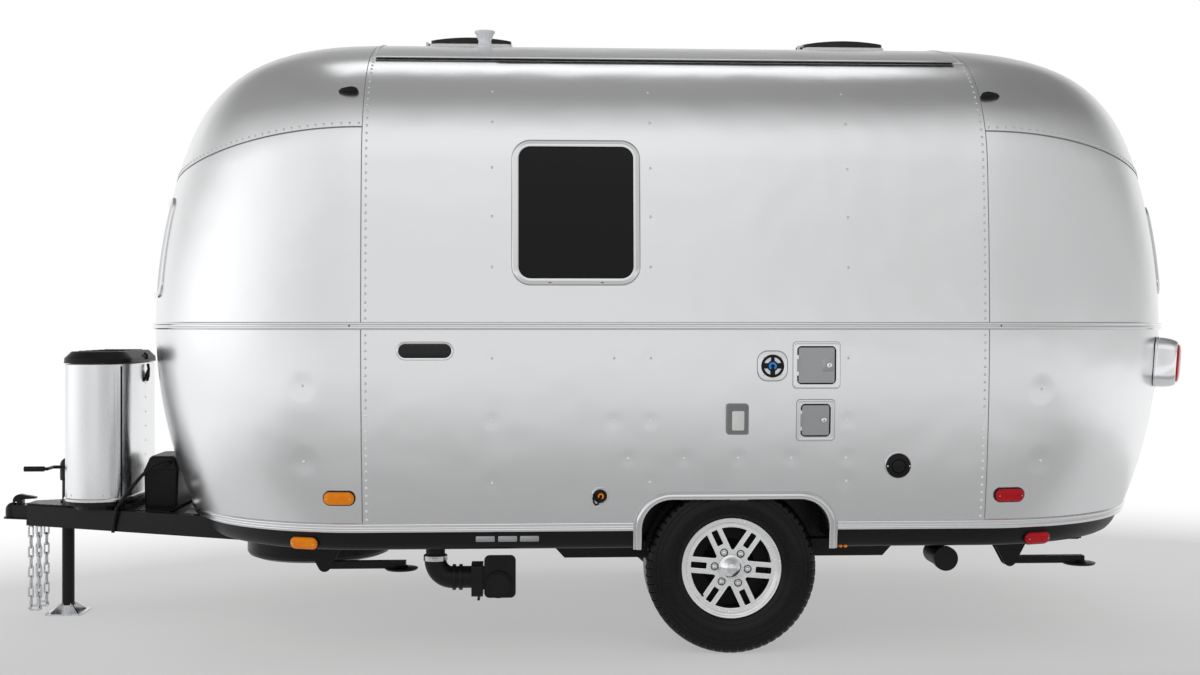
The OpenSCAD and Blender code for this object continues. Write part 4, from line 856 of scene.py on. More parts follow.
SEAL_HALF, SEAL_DOWN = 0.0022, 0.0034
SEALANT = [(-SEAL_HALF, 0.0004), (-0.0014, 0.0018), (0.0014, 0.0018), (SEAL_HALF, 0.0004)]
seal_zs = np.linspace(WALL_Z0 + 0.04, GUTTER_Z, 60)
laps = []
for seam in (SEAM_F - SEAL_HALF, SEAM_R + SEAL_HALF):
    places = [(LEFT, seam, z) for z in seal_zs]
    places += [(roof_face, seam, y) for y in np.linspace(-gutter_y, gutter_y, 60)[1:-1]]
    places += [(RIGHT, seam, z) for z in seal_zs[::-1]]
    laps.append(loft([[face(a + s, b, o) for s, o in SEALANT] for face, a, b in places]))
for rear in (False, True):
    laps.append(loft([[cap_face(rear)(a, cap_seam(a / CAP_SCALE) + s - SEAL_DOWN, o) for s, o in SEALANT]
                      for a in np.linspace(0.004, CAP_ACROSS - 0.004, 160)]))
piece("seam_sealant", laps, "sealant")

# awning rails, section points being (out, height)

awning_low, awning_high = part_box("awning_rails")
awning_section = [(0.0003, -0.0135), (0.0065, -0.0135), (0.0065, -0.007), (0.0035, -0.0055),
                  (0.0035, -0.0015), (0.0115, -0.0005), (0.0138, 0.003), (0.0138, 0.009), (0.0105, 0.0125),
                  (0.0003, 0.0135)]
awning_runs = [side_run(awning_low.x, awning_high.x, side) for side in BOTH]
band("trim_awning_rails", awning_runs, [(o, GUTTER_Z + z) for o, z in awning_section], "alu_trim",
     "awning_rails")


# fittings on the road side, each (across, up, width, height, corner)

def seal_data(face, path, width=0.0024, height=0.0042):
    """A thin sealing strip just outside a path on a face."""
    section = [(-width, 0.0004), (-width * 0.8, height * 0.85), (-width * 0.3, height), (0.0004, height),
               (0.0004, 0.0004)]
    return edge_data(face, resample(path, 0.02), section)


WATER = (AXLE_X + 0.151, 1.209, 0.123, 0.123, 0.042)
VENT = (AXLE_X + 0.008, 0.991, 0.087, 0.123, 0.01)
BADGE = (AXLE_X - 1.269, 1.2715, 0.23, 0.073, 0.0365)
BADGE_SEAL_R, BADGE_SEAL_SIZE = 0.0364, (0.0016, 0.0036)
seals = [seal_data(face, rounded(*window)) for face, window in SIDE_WINDOWS]
seals += [seal_data(LEFT, rounded(*hatch, HATCH_CORNER)) for hatch in HATCHES.values()]
seals += [seal_data(LEFT, rounded(*fitting)) for fitting in (WATER, VENT)]
seals.append(seal_data(LEFT, rounded(*BADGE[:4], BADGE_SEAL_R), *BADGE_SEAL_SIZE))
piece("fitting_seals", seals, "sealant")

HATCH_BEAD = [(0.0008, 0.0045), (0.0016, 0.0068), (0.0035, 0.0076), (0.0065, 0.0074), (0.0088, 0.0062),
              (0.0095, 0.0045)]
HATCH_SEAL = [(0.0165, -0.02), (0.0165, -0.0015), (0.0215, -0.0015), (0.0215, -0.02)]
HATCH_SEAL_R = 0.026
LOCK = [(0, 0), (0.0115, 0), (0.0115, 0.0014), (0.0095, 0.0034), (0.005, 0.0038), (0.0044, 0.001), (0, 0.001)]
LOCK_IN, LOCK_OUT = 0.044, 0.008
KEY_SIZE, KEY_LEVELS = (0.0024, 0.0082, 0.001), ((0, 0.0005), (0, 0.0021), (-0.0004, 0.0024))
THUMB_SIZE, THUMB_LEVELS = (0.05, 0.052, 0.004), ((0, 0), (0, 0.0006), (-0.0008, 0.0011))
THUMB_IN, THUMB_OUT = 0.049, 0.0039


def hatch_details(name, x, z, width, height):
    """Bead round the frame, seal in the gap, lock on the door."""
    bead = edge_data(LEFT, rounded(x, z, width, height, HATCH_CORNER), HATCH_BEAD)
    piece(f"{name}_bead", [bead], "alu_trim")
    seal = edge_data(LEFT, rounded(x, z, width, height, HATCH_SEAL_R), HATCH_SEAL)
    piece(f"{name}_seal", [seal], "rubber")
    lock = on_wall(x + width / 2 - LOCK_IN, z, LOCK_OUT)
    piece(f"{name}_lock", [revolve_data(LOCK, lock, 32)], "chrome", body=name)
    # A dark plate stands in for the shade of the key slot: painted shade.
    piece(f"{name}_key_slot_shade", [plate_data(lock, *KEY_SIZE, KEY_LEVELS)], "rubber", body=name)


def thumb_plate(name, x, z, width):
    """Plain plate behind the lock of a hatch door."""
    place = on_wall(x + width / 2 - THUMB_IN, z, THUMB_OUT)
    piece(f"{name}_thumb_plate", [plate_data(place, *THUMB_SIZE, THUMB_LEVELS)], "grey_satin", body=name)


for name, hatch in HATCHES.items():
    hatch_details(name, *hatch)
    if name == "hatch_upper":
        thumb_plate(name, *hatch[:3])

# inlets: sections as (radius, out) of the plates and caps

POWER, CABLE = (SEAM_R - 0.373, 0.796), (AXLE_X - 0.555, 0.675)
WATER_LEVELS = ((0, 0.0003), (0, 0.005), (-0.0025, 0.0085), (-0.008, 0.009))
WATER_CAP = [(0, 0.009), (0.0475, 0.009), (0.0475, 0.0115), (0.045, 0.0125), (0.0405, 0.0125),
             (0.039, 0.0105), (0.019, 0.0105), (0.017, 0.0125), (0, 0.0125)]
POWER_RING = [(0.0515, 0.0003), (0.0555, 0.0003), (0.0555, 0.008), (0.054, 0.0105), (0.0515, 0.0105)]
POWER_CAP = [(0, 0.0003), (0.0514, 0.0003), (0.0514, 0.014), (0.048, 0.018), (0.031, 0.0205),
             (0.0295, 0.0165), (0.0275, 0.0165), (0.026, 0.021), (0.0225, 0.0235), (0, 0.024)]
CABLE_RING = [(0.026, 0.0003), (0.0365, 0.0003), (0.0365, 0.006), (0.034, 0.0095), (0.029, 0.0095),
              (0.026, 0.006)]
CABLE_CAP = [(0, 0.0003), (0.0258, 0.0003), (0.0258, 0.0055), (0.022, 0.0085), (0, 0.0095)]
CABLE_STRAP = ((-0.026, 0.01, 0.008), (-0.0285, -0.008, 0.011), (-0.026, -0.026, 0.011),
               (-0.018, -0.037, 0.011), (-0.009, -0.033, 0.012), (-0.001, -0.018, 0.014),
               (0.003, -0.003, 0.014))
CABLE_STRAP_R = 0.0038
FAN_OUTER, FAN_INNER, FAN_TURNS = 0.0365, 0.023, (50, 130, 225, 315)
PORT_LEVELS = ((1, 0.01), (1, 0.0114), (0.985, 0.012))
# marks as (across, outer and inner radius, first and last angle)
WATER_MARK, WATER_MARK_LEVELS = (0, 0.0165, 0.0085, -55, 235), ((1, 0.0122), (1, 0.0138), (0.97, 0.0143))
CABLE_MARK, CABLE_MARK_LEVELS = (0.003, 0.0125, 0.0065, -75, 215), ((1, 0.009), (1, 0.0112), (0.97, 0.0118))
INLET_SCREW = (0.0036, 0.0018)


def ring_mark(x, outer, inner, start, end):
    """Outline of an open ring."""
    return arc((x, 0), outer, start, end, 24) + arc((x, 0), inner, end, start, 24)


def inlets():
    """Water inlet, power inlet and cable port: plates, caps, marks and screws."""
    water, power, cable = on_wall(*WATER[:2]), on_wall(*POWER), on_wall(*CABLE)
    plates = [plate_data(water, *WATER[2:], WATER_LEVELS), revolve_data(POWER_RING, power, 72),
              revolve_data(CABLE_RING, cable, 48)]
    piece("inlet_plates", plates, "alu_trim", "side_inlets")
    caps = [revolve_data(WATER_CAP, water, 64), revolve_data(POWER_CAP, power, 72),
            revolve_data(CABLE_CAP, cable, 40)]
    piece("inlet_caps", caps, "black_plastic")
    fans = [arc((0, 0), FAN_OUTER, a - 28, a + 28) + arc((0, 0), FAN_INNER, a + 18, a - 18)
            for a in FAN_TURNS]
    piece("inlet_ports", [stack_data(water, fan, PORT_LEVELS) for fan in fans], "pale_clear")
    piece("inlet_mark", [stack_data(water, ring_mark(*WATER_MARK), WATER_MARK_LEVELS)], "blue")
    piece("port_mark", [stack_data(cable, ring_mark(*CABLE_MARK), CABLE_MARK_LEVELS)], "amber")
    piece("port_strap", [rod_data([cable @ Vector(p) for p in CABLE_STRAP], CABLE_STRAP_R)], "rubber")
    circles = ((water, 0.052, 0.0088, (45, 135, 225, 315)), (power, 0.0455, 0.0183, (0, 180)),
               (cable, 0.0315, 0.009, (0, 180)))
    screws = [dome_data(moved(m @ Matrix.Rotation(math.radians(a), 4, "Z"), radius, 0, up), *INLET_SCREW)
              for m, radius, up, turns in circles for a in turns]
    piece("inlet_screws", screws, "chrome")


inlets()

LABEL_SIZE, LABEL_OUT, LABEL_DOWN = (0.05, 0.08, 0.006), 0.026, 0.006
label_levels = ((0, 0), (0, 0.0012), (-0.001, 0.002))
label = plate_data(moved(on_wall(*VENT[:2], LABEL_OUT), 0, -LABEL_DOWN, 0), *LABEL_SIZE, label_levels)
piece("vent_label", [label], "white_plastic")
badge_levels = ((0, 0.0003), (0, 0.004), (-0.002, 0.006), (-0.005, 0.006), (-0.007, 0.0045))
field_levels = ((-0.008, 0.003), (-0.008, 0.0052), (-0.009, 0.0056))
badge = on_wall(*BADGE[:2])
piece("badge_rim", [plate_data(badge, *BADGE[2:], badge_levels)], "chrome")
piece("badge_field", [plate_data(badge, *BADGE[2:], field_levels)], "smoke_plastic")

# lamps, as (turn on the cap, rear, up, width, height, lift)

AMBER_LAMPS = ((5.8, False, 0.67, 0.125, 0.053, 0.0003), (17, False, 0.478, 0.123, 0.05, -0.0115))
RED_LAMPS = ((6, True, 0.668, 0.125, 0.053, 0.0003), (16, True, 0.478, 0.123, 0.05, -0.0107))
LENS_LEVELS = ((0, 0), (0, 0.009), (-0.002, 0.0135), (-0.006, 0.0168), (-0.012, 0.0188), (-0.02, 0.0197))
GASKET_LEVELS = ((0, 0.0005), (0, 0.004), (-0.001, 0.005))
GASKET_GROW, GASKET_ROUND = 0.009, 0.0025
# prisms and screws as (radius, height), prisms also with rings and segments
PRISM, PRISM_UP, PRISM_PITCH = (0.0036, 0.0016, 2, 8), 0.0192, 0.0082
COLUMN_MARGINS, ROW_MARGINS = (0.026, 0.025), (0.0135, 0.012)
LENS_SCREW, LENS_SCREW_IN, LENS_SCREW_UP = (0.0042, 0.0035), 0.014, 0.016


def lamp_places(u, rear, z, lift):
    """Matrices of a lamp on both sides of a cap."""
    return [on_cap(a, rear, z, lift) for a in (u, 180 - u)]


def prism_lines(size, start, end):
    """Even places across a lens, between two margins."""
    return np.arange(-size / 2 + start, size / 2 - end, PRISM_PITCH)


def lens_data(u, rear, z, width, height, lift):
    """Pill lenses with rounded edges, and small round prisms in rows on them."""
    places = lamp_places(u, rear, z, lift)
    columns, rows = prism_lines(width, *COLUMN_MARGINS), prism_lines(height, *ROW_MARGINS)
    lenses = [plate_data(m, width, height, height / 2 - 0.002, LENS_LEVELS) for m in places]
    return lenses + [dome_data(moved(m, x, y, PRISM_UP), *PRISM)
                     for m in places for x in columns for y in rows]


def lens_screws(u, rear, z, width, height, lift):
    return [dome_data(moved(m, k * (width / 2 - LENS_SCREW_IN), 0, LENS_SCREW_UP), *LENS_SCREW)
            for m in lamp_places(u, rear, z, lift) for k in BOTH]


def gasket_data(u, rear, z, width, height, lift):
    size = (width + GASKET_GROW, height + GASKET_GROW, height / 2 + GASKET_ROUND)
    return [plate_data(m, *size, GASKET_LEVELS) for m in lamp_places(u, rear, z, lift)]


def for_lamps(make, lamps):
    return [shape for lamp in lamps for shape in make(*lamp)]


pod_outline = rounded(0, 0, 0.16, 0.226, 0.056, 14)
POD_TURNS, POD_Z, POD_IN = (60, 120), 1.21, 0.0007
pods = [on_cap(a, True, POD_Z, -POD_IN) for a in POD_TURNS]
pod_levels = [(1, 0), (1.02, 0.004), (1.02, 0.010), (0.995, 0.012)]
pod_levels += [(0.8 + 0.195 * math.cos(t), 0.012 + 0.08 * math.sin(t)) for t in np.radians(range(10, 91, 10))]
pod_lens = [(0.76, 0.0913), (0.75, 0.095), (0.7, 0.0985), (0.6, 0.1012), (0.45, 0.1025)]
red = for_lamps(lens_data, RED_LAMPS) + [stack_data(m, pod_outline, pod_lens) for m in pods]
piece("lens_amber", for_lamps(lens_data, AMBER_LAMPS), "amber", "lamps_amber")
piece("lens_red", red, "red", "lamps_red")
piece("tail_pods", [stack_data(m, pod_outline, pod_levels) for m in pods], "chrome", "tail_lamp_pods")
piece("lamp_screws", for_lamps(lens_screws, AMBER_LAMPS + RED_LAMPS), "chrome")
piece("lamp_gaskets", for_lamps(gasket_data, AMBER_LAMPS + RED_LAMPS), "rubber")


# plates and small lamps on the skirt

SKIRT_IN = 0.0095
PLATE_SIZE, PLATE_Z, PLATE_XS = (0.078, 0.024, 0.004), 0.495, (-1.027, -0.935, -0.845)
MARKER_R, MARKER_Z, MARKER_IN, MARKER_XS = 0.009, 0.452, 0.02, (0.437, 0.458, 0.479)


def on_skirt(x, z, out, way):
    return pointing(LEFT(AXLE_X + x, z, out - SKIRT_IN), way)


plate_levels = ((0, 0), (0, 0.0012), (-0.0012, 0.002))
plates = [plate_data(on_skirt(x, PLATE_Z, 0.0, (0, -1, 0)), *PLATE_SIZE, plate_levels) for x in PLATE_XS]
piece("skirt_plates", plates, "grey_satin")
markers = [dome_data(on_skirt(x, MARKER_Z, -MARKER_IN, (0, -1, -0.3)), MARKER_R, MARKER_R) for x in MARKER_XS]
piece("skirt_markers", markers, "amber")

# wheels: sections as (radius, along the axle outwards)

TYRE_HALF = [(0.1903, 0.078), (0.2, 0.0806), (0.211, 0.0836), (0.214, 0.092), (0.226, 0.1005),
             (0.2315, 0.1022), (0.2325, 0.1045), (0.2365, 0.1057), (0.2375, 0.1045), (0.247, 0.1072),
             (0.258, 0.1098), (0.275, 0.1102), (0.29, 0.1092), (0.2995, 0.1066), (0.3005, 0.1078),
             (0.3035, 0.1071), (0.3045, 0.1053), (0.318, 0.1022), (0.319, 0.1032), (0.3215, 0.1026),
             (0.3225, 0.1009), (0.333, 0.099)]
TREAD_HALF = [(0.341, 0.0937), (0.349, 0.0875), (0.3535, 0.0815), (0.357, 0.0755), (0.3585, 0.0675),
              (0.3588, 0.0595), (0.3508, 0.0585), (0.3508, 0.0515), (0.3589, 0.0505), (0.3589, 0.0225),
              (0.3509, 0.0215), (0.3509, 0.0145), (0.359, 0.0135), (0.359, 0.0)]
LUG_COUNT, LUG_COLUMNS = 64, ((0.0, False), (0.66, False), (0.72, True), (0.94, True))
LUG_R, LUG_Z, LUG_CUT, LUG_NARROW = 0.34, 0.062, 0.0055, 0.003
FACE_Z, FACE_T, SPOKES, SPOKE_TURN, SPOKE_HALF, WINDOW_R = 0.0523, 0.022, 6, -5, 0.034, 0.17
FACE_TOP = FACE_Z + FACE_T
SPOKE_TURNS = [SPOKE_TURN + 360 * k / SPOKES for k in range(SPOKES)]
FACE_R, OPENING_TIP_R, RIM_SLOT = 0.184, 0.008, (0.137, 0, 0.066, 0.026, 0.004)
NUT_CIRCLE, NUT_SINK, WHEEL_CAP_SINK = 0.07, 0.01, 0.001
VALVE_R, VALVE_TURN, VALVE_Z = 0.166, 3.9, 0.055
NUT = [(0, 0), (0.0125, 0), (0.0125, 0.004), (0.0108, 0.006), (0.0108, 0.02), (0.0095, 0.024),
       (0.006, 0.0265), (0, 0.0272)]
NUT_SHADE_RING = [(0.0126, 0.0001), (0.017, 0.0001), (0.0165, 0.0014), (0.0135, 0.0014)]
WHEEL_CAP = [(0.0462, 0.0083), (0.0535, 0.0048), (0.0536, 0.0066), (0.0475, 0.0095), (0.0455, 0.0105),
             (0.0415, 0.0132), (0.033, 0.0232), (0.0215, 0.0291), (0.0205, 0.0303), (0.009, 0.0322),
             (0, 0.0326), (0, 0.028)]
VALVE = [(0, 0), (0.006, 0), (0.006, 0.012), (0.0042, 0.014), (0.0042, 0.03), (0, 0.031)]
# depth behind which the inside of the barrel is painted dark as shade, and the barrel's inner radius
BARREL_SHADE_Z, BARREL_R = 0.03, 0.181
BARREL = [(0.202, -0.09), (RIM_R, -0.09), (RIM_R, -0.084), (0.19, -0.079), (0.19, 0.079), (RIM_R, 0.084),
          (RIM_R, 0.0885), (RIM_R - 0.001, 0.09), (0.2035, 0.09), (0.2012, 0.0888), (0.1992, 0.0855),
          (0.1962, 0.0842), (0.1925, 0.0836), (0.1902, 0.0815), (0.189, 0.0775), (0.1862, 0.0752),
          (0.1825, 0.0748), (BARREL_R, 0.073), (BARREL_R, BARREL_SHADE_Z), (BARREL_R, -0.072)]
DRUM_FLANGE = [(0.112, -0.028), (0.174, -0.028), (0.1775, -0.031), (0.1775, -0.046), (0.1745, -0.046),
               (0.1735, -0.034), (0.112, -0.034)]
OPENING_BEVEL = [(-0.0002, -0.0008), (-0.0002, 0.0004), (-0.003, 0.0012), (-0.0045, 0.0001),
                 (-0.0045, -0.0008)]


def tyre_data(wheel):
    """Tyre with ribbed sidewalls, four grooves round the tread and lugs cut into its shoulders."""
    half = TYRE_HALF + TREAD_HALF
    section = half + [(r, -w) for r, w in reversed(half[:-1])]
    rows = []
    for lug in range(LUG_COUNT):
        for share, cut in LUG_COLUMNS:
            a = 2 * math.pi * (lug + share) / LUG_COUNT
            row = []
            for r, w in section:
                if cut and r > LUG_R and abs(w) > LUG_Z:
                    r, w = r - LUG_CUT, w - math.copysign(LUG_NARROW, w)
                row.append(wheel @ Vector((*polar(r, a), w)))
            rows.append(row)
    return loft(rows, closed=True)


def turned(loop, degrees):
    c, s = polar(1, math.radians(degrees))
    return [(x * c - y * s, x * s + y * c) for x, y in loop]


def rim_openings():
    """Wide openings between the pairs of bars, and a slot in each pair."""
    half = 180 / SPOKES
    reach = half - math.degrees(math.asin(SPOKE_HALF / WINDOW_R))
    tip_x = (SPOKE_HALF + OPENING_TIP_R) / math.sin(math.radians(half))
    tip = arc((tip_x, 0), OPENING_TIP_R, 270 - half, 90 + half, 6)
    wide = tip + arc((0, 0), WINDOW_R, reach, -reach, 12)
    slot = rounded(*RIM_SLOT, count=4)
    return [turned(wide, t + half) for t in SPOKE_TURNS] + [turned(slot, t) for t in SPOKE_TURNS]


def rim_piece(name, wheel, body):
    """Rim: barrel, face with its openings, and a bevel along every edge of them."""
    def flat(x, y, out):
        return wheel @ Vector((x, y, FACE_TOP + out))

    openings = rim_openings()
    disc = arc((0, 0), FACE_R, 0, 360, 96)[:-1]
    plate = panel(f"rim_face_{name}", flat, disc, f"rim_{name}", openings, step=0.02, depth=FACE_T, body=body,
                  finish="alloy", lining="alloy_shade")
    # The back of the face and the walls of its openings take the darker copy of the alloy: painted shade.
    for poly in plate.data.polygons:
        if len(poly.vertices) == 4:
            poly.material_index = 1
    barrel = piece(f"rim_barrel_{name}", [revolve_data(BARREL, wheel, 96)], "alloy", f"rim_{name}", body, 30)
    # The inside of the barrel, deeper than the split point in its section, takes the dark undercoat finish:
    # painted shade.
    axle_frame = wheel.inverted()
    repaint(barrel.data, "undercoat",
            lambda p: (axle_frame @ p).z < BARREL_SHADE_Z and (axle_frame @ p).xy.length < BARREL_R + 0.004)
    edges = [edge_data(flat, loop if k >= SPOKES else loop[::-1], OPENING_BEVEL)
             for k, loop in enumerate(openings)]
    piece(f"rim_edges_{name}", edges, "alloy", body=body, smooth=30)


for side, name in zip(BOTH, ("left", "right")):
    body = f"wheel_{name}"
    wheel = pointing((AXLE_X, side * TRACK_Y, AXLE_Z), (0, side, 0))
    piece(f"tyre_tread_{name}", [tyre_data(wheel)], "tyre", f"tyre_{name}", body, 35)
    rim_piece(name, wheel, body)
    piece(f"drum_flange_{name}", [revolve_data(DRUM_FLANGE, wheel, 72)], "undercoat", body=body)
    spots = [moved(wheel, *polar(NUT_CIRCLE, math.radians(t)), FACE_TOP) for t in SPOKE_TURNS]
    nuts = [revolve_data(NUT, moved(m, 0, 0, -NUT_SINK), 6) for m in spots]
    piece(f"wheel_nuts_{name}", nuts, "chrome", body=body, smooth=25)
    # A dark ring round each nut stands in for the shade of its recess: painted shade.
    piece(f"wheel_nut_shades_{name}", [revolve_data(NUT_SHADE_RING, m, 28) for m in spots], "rubber", body=body)
    cap = revolve_data(WHEEL_CAP, moved(wheel, 0, 0, FACE_TOP - WHEEL_CAP_SINK), 56)
    piece(f"wheel_cap_{name}", [cap], "chrome", body=body)
    valve = revolve_data(VALVE, moved(wheel, *polar(VALVE_R, VALVE_TURN), VALVE_Z), 16)
    piece(f"wheel_valve_{name}", [valve], "rubber", body=body)


# gas cover: sections as (out of the plan, height)

COVER = Vector((TIP_X + 0.505, 0))
COVER_R, COVER_W, COVER_Z, COVER_H = 0.15, 0.686, 0.565, 0.63
COVER_TOP = COVER_Z + COVER_H
COVER_HINGE = Vector((TIP_X + 0.343, 0, 1.203))
KNUCKLE_HALF, KNUCKLE_R, PIN_HALF, PIN_R = 0.012, 0.006, 0.102, 0.0025
COVER_KNUCKLE_Y, LID_KNUCKLE_Y = 0.09, 0.06
FOOT_ROLL = [(0, 0.0003), (0.0045, 0.0003), (0.0062, 0.004), (0.0062, 0.011), (0.003, 0.016), (0, 0.018)]
cover_section = [(out, COVER_Z + z) for out, z in FOOT_ROLL]
cover_section += [(0, COVER_TOP - 0.006), (-0.0012, COVER_TOP), (-0.003, COVER_TOP - 0.001),
                  (-0.003, COVER_Z + 0.0003)]


def stadium(radius, length, count=36):
    """Points and outward normals of a rounded bar's plan, long way across."""
    points = []
    for end, start in ((1, 0), (-1, 180)):
        for k in range(count + 1):
            n = Vector(polar(1, math.radians(start + 180 * k / count)))
            points.append((radius * n + Vector((0, end * (length / 2 - radius))), n))
    return points


def hinge_rod(y, half, radius, segments=20):
    return rod_data([COVER_HINGE + Vector((0, y + k * half, 0)) for k in BOTH], radius, segments)


def hinge_box(y, x0, x1, z0, z1):
    low, high = Vector((x0, y - KNUCKLE_HALF, z0)), Vector((x1, y + KNUCKLE_HALF, z1))
    return box_data(COVER_HINGE + low, COVER_HINGE + high)


plan = stadium(COVER_R, COVER_W)
cover_rows = [[Vector((*(COVER + p + n * out), z)) for out, z in cover_section] for p, n in plan]
cover = [loft(cover_rows, closed=True)]
cover += [hinge_rod(k * COVER_KNUCKLE_Y, KNUCKLE_HALF, KNUCKLE_R) for k in BOTH]
cover += [hinge_box(k * COVER_KNUCKLE_Y, -KNUCKLE_R, 0.0125, -0.034, -0.004) for k in BOTH]
cover.append(hinge_rod(0, PIN_HALF, PIN_R, 12))
piece("gas_cover_shell", cover, "steel_cover", "gas_cover", smooth=30)

GAP_TURN, GAP_SIZE = -34, (0.010, 0.0006)
FACE_RIVET, FACE_RIVET_Y, FACE_RIVET_PITCH = (0.0042, 0.0022), 0.047, 0.069
END_RIVET, END_RIVET_UP, END_RIVET_TURNS = (0.0048, 0.0024), 0.032, (-128, -68)
near_end = Vector((COVER.x, -(COVER_W / 2 - COVER_R)))


def on_cover(turn, z):
    """Matrix on the near round end of the cover, turn in degrees from its rear."""
    n = Vector(polar(1, math.radians(turn)))
    return pointing((*(near_end + n * COVER_R), z), (*n, 0))


def cover_strip(turn, width, height):
    """An upright strip on the near end, as wide as its arc."""
    spread = math.degrees(width / COVER_R)
    ways = [Vector(polar(1, math.radians(turn + spread * (k / 6 - 0.5)))) for k in range(7)]
    outline = [near_end + way * (COVER_R + height) for way in ways]
    outline += [near_end + way * (COVER_R - 0.001) for way in reversed(ways)]
    return loft([[Vector((*p, z)) for p in outline] for z in (COVER_Z + 0.02, COVER_TOP - 0.008)])


folds = ((-58, 0.006, 0.0014), (-48, 0.005, 0.0014), (-41, 0.012, 0.002))
piece("gas_cover_folds", [cover_strip(*fold) for fold in folds], "steel_cover", smooth=30)
# A dark strip stands in for the shade in the cover's gap: painted shade.
piece("gas_cover_gap_shade", [cover_strip(GAP_TURN, *GAP_SIZE)], "rubber")
face_rivets = [dome_data(pointing((COVER.x + COVER_R, FACE_RIVET_Y, z), (1, 0, 0)), *FACE_RIVET)
               for z in np.arange(COVER_Z + 0.05, COVER_TOP - 0.08, FACE_RIVET_PITCH)]
face_rivets += [dome_data(on_cover(t, COVER_Z + END_RIVET_UP), *END_RIVET) for t in END_RIVET_TURNS]
piece("gas_cover_rivets", face_rivets, "zinc")

# lid of the gas cover, and its rubber latch

LID_Z = COVER_TOP + 0.0055
LID_LEVELS = [(-0.032, 0.049), (0.0, 0.02), (0.0, 0.0005), (0.005, 0.0), (0.0056, 0.003), (0.0056, 0.009),
              (0.004, 0.0105), (0.004, 0.0135), (0.005, 0.015), (0.0048, 0.021), (0.001, 0.0255),
              (-0.022, 0.0485), (-0.026, 0.0528), (-0.031, 0.054)]
lid = [loft([[Vector((*(COVER + p + n * out), LID_Z + z)) for p, n in plan] for out, z in LID_LEVELS])]
lid += [hinge_rod(k * LID_KNUCKLE_Y, KNUCKLE_HALF, KNUCKLE_R) for k in BOTH]
lid += [hinge_box(k * LID_KNUCKLE_Y, 0, 0.0105, 0, KNUCKLE_R) for k in BOTH]
piece("gas_lid_moulding", lid, "black_plastic", "gas_lid", "bottle_lid", 30)
RIB_X, RIB_Y, RIB_Z, RIB_TOP, RIB_YS = 0.09, 0.006, 0.0535, 0.0572, (-0.2, -0.1, 0, 0.1, 0.2)
ribs = [box_data((COVER.x - RIB_X, y - RIB_Y, LID_Z + RIB_Z), (COVER.x + RIB_X, y + RIB_Y, LID_Z + RIB_TOP))
        for y in RIB_YS]
piece("gas_lid_ribs", ribs, "black_plastic", body="bottle_lid")

LATCH_Y, COVER_FACE = 0.04, COVER.x + COVER_R
STRAP_FOOT_Y, STRAP_FOOT_Z, STRAP_R, STRAP_KNOB = 0.03, 1.116, 0.0065, (0.013, 0.009)
# strap as (out of the cover's face, across, height), hook as (out, across, up from the lid)
STRAP_PATH = ((0.012, 0, 1.19), (0.016, 0, 1.165), (0.012, 0.012, 1.148), (0.008, 0.024, 1.128),
              (0.002, STRAP_FOOT_Y, STRAP_FOOT_Z))
HOOK_BAR = ((0.0062, -0.016, 0.017), (0.0092, 0, 0.019), (0.0062, 0.016, 0.017))
HOOK_ARM = ((-0.0058, 0, 0.042), (0.0072, 0, 0.03), (0.0092, 0, 0.012))
strap = [rod_data([(COVER_FACE + x, LATCH_Y + k * y, z) for x, y, z in STRAP_PATH], STRAP_R) for k in BOTH]
strap_feet = [(COVER_FACE, LATCH_Y + k * STRAP_FOOT_Y, STRAP_FOOT_Z) for k in BOTH]
strap += [dome_data(pointing(foot, (1, 0, 0)), *STRAP_KNOB) for foot in strap_feet]
piece("gas_latch_strap", strap, "rubber")
hook = [rod_data([(COVER_FACE + x, LATCH_Y + y, LID_Z + z) for x, y, z in path], radius)
        for path, radius in ((HOOK_BAR, 0.005), (HOOK_ARM, 0.006))]
piece("gas_latch_hook", hook, "rubber", body="bottle_lid")

# roof cap vent, as (radius, down from its top)

vent_low, vent_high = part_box("roof_cap_vent")
mast = Matrix.Translation(((vent_low.x + vent_high.x) / 2, (vent_low.y + vent_high.y) / 2, vent_high.z))
HORN = [(0, 0), (0.046, -0.001), (0.0475, -0.004), (0.0465, -0.008), (0.038, -0.018), (0.031, -0.031),
        (0.029, -0.046), (0.031, -0.058), (0.036, -0.066), (0.044, -0.072), (0.044, -0.11), (0, -0.11)]
FLUTE = ((0.045, -0.004), (0.037, -0.018), (0.0295, -0.04))
flutes = [rod_data([mast @ Vector((*polar(r, t), z)) for r, z in FLUTE], 0.0022, 8) for t in turns_of(12)]
stands_for(piece("roof_horn", [revolve_data(HORN, mast, 40)] + flutes, "pale_clear"), "white_plastic",
           "roof_cap_vent")

# small fittings

LIP_SIZE, LIP_LEVELS = (0.082, 0.014, 0.003), ((0, 0), (0, 0.0016), (-0.001, 0.0024))
lip_place = on_wall(AXLE_X + 0.02, ARCH_Z + 0.006, 0.0026)
piece("arch_lip", [plate_data(lip_place, *LIP_SIZE, LIP_LEVELS)], "alu_trim")
PLUG, PLUG_OUT, PLUG_TURNS = (0.0052, 0.003), 0.0095, (2.5, 177.5)
plugs = [dome_data(on_cap(u, rear, BELT_Z, PLUG_OUT), *PLUG) for rear in (False, True) for u in PLUG_TURNS]
piece("belt_plugs", plugs, "rubber")
CLAMP = [(0.0481, 0), (0.0505, 0.001), (0.0505, 0.021), (0.0481, 0.022)]
CLAMP_BOLT, CLAMP_BOLT_R = [(k * 0.012, -0.0525, 0.011) for k in BOTH], 0.004
drain = Matrix.Translation((AXLE_X - 1.24, -(HALF_W - 0.228), 0.386))
bolt = rod_data([drain @ Vector(p) for p in CLAMP_BOLT], CLAMP_BOLT_R)
piece("drain_clamp", [revolve_data(CLAMP, drain, 40), bolt], "zinc")

# light of the studio by how far up and back a ray goes, and from its left to its right

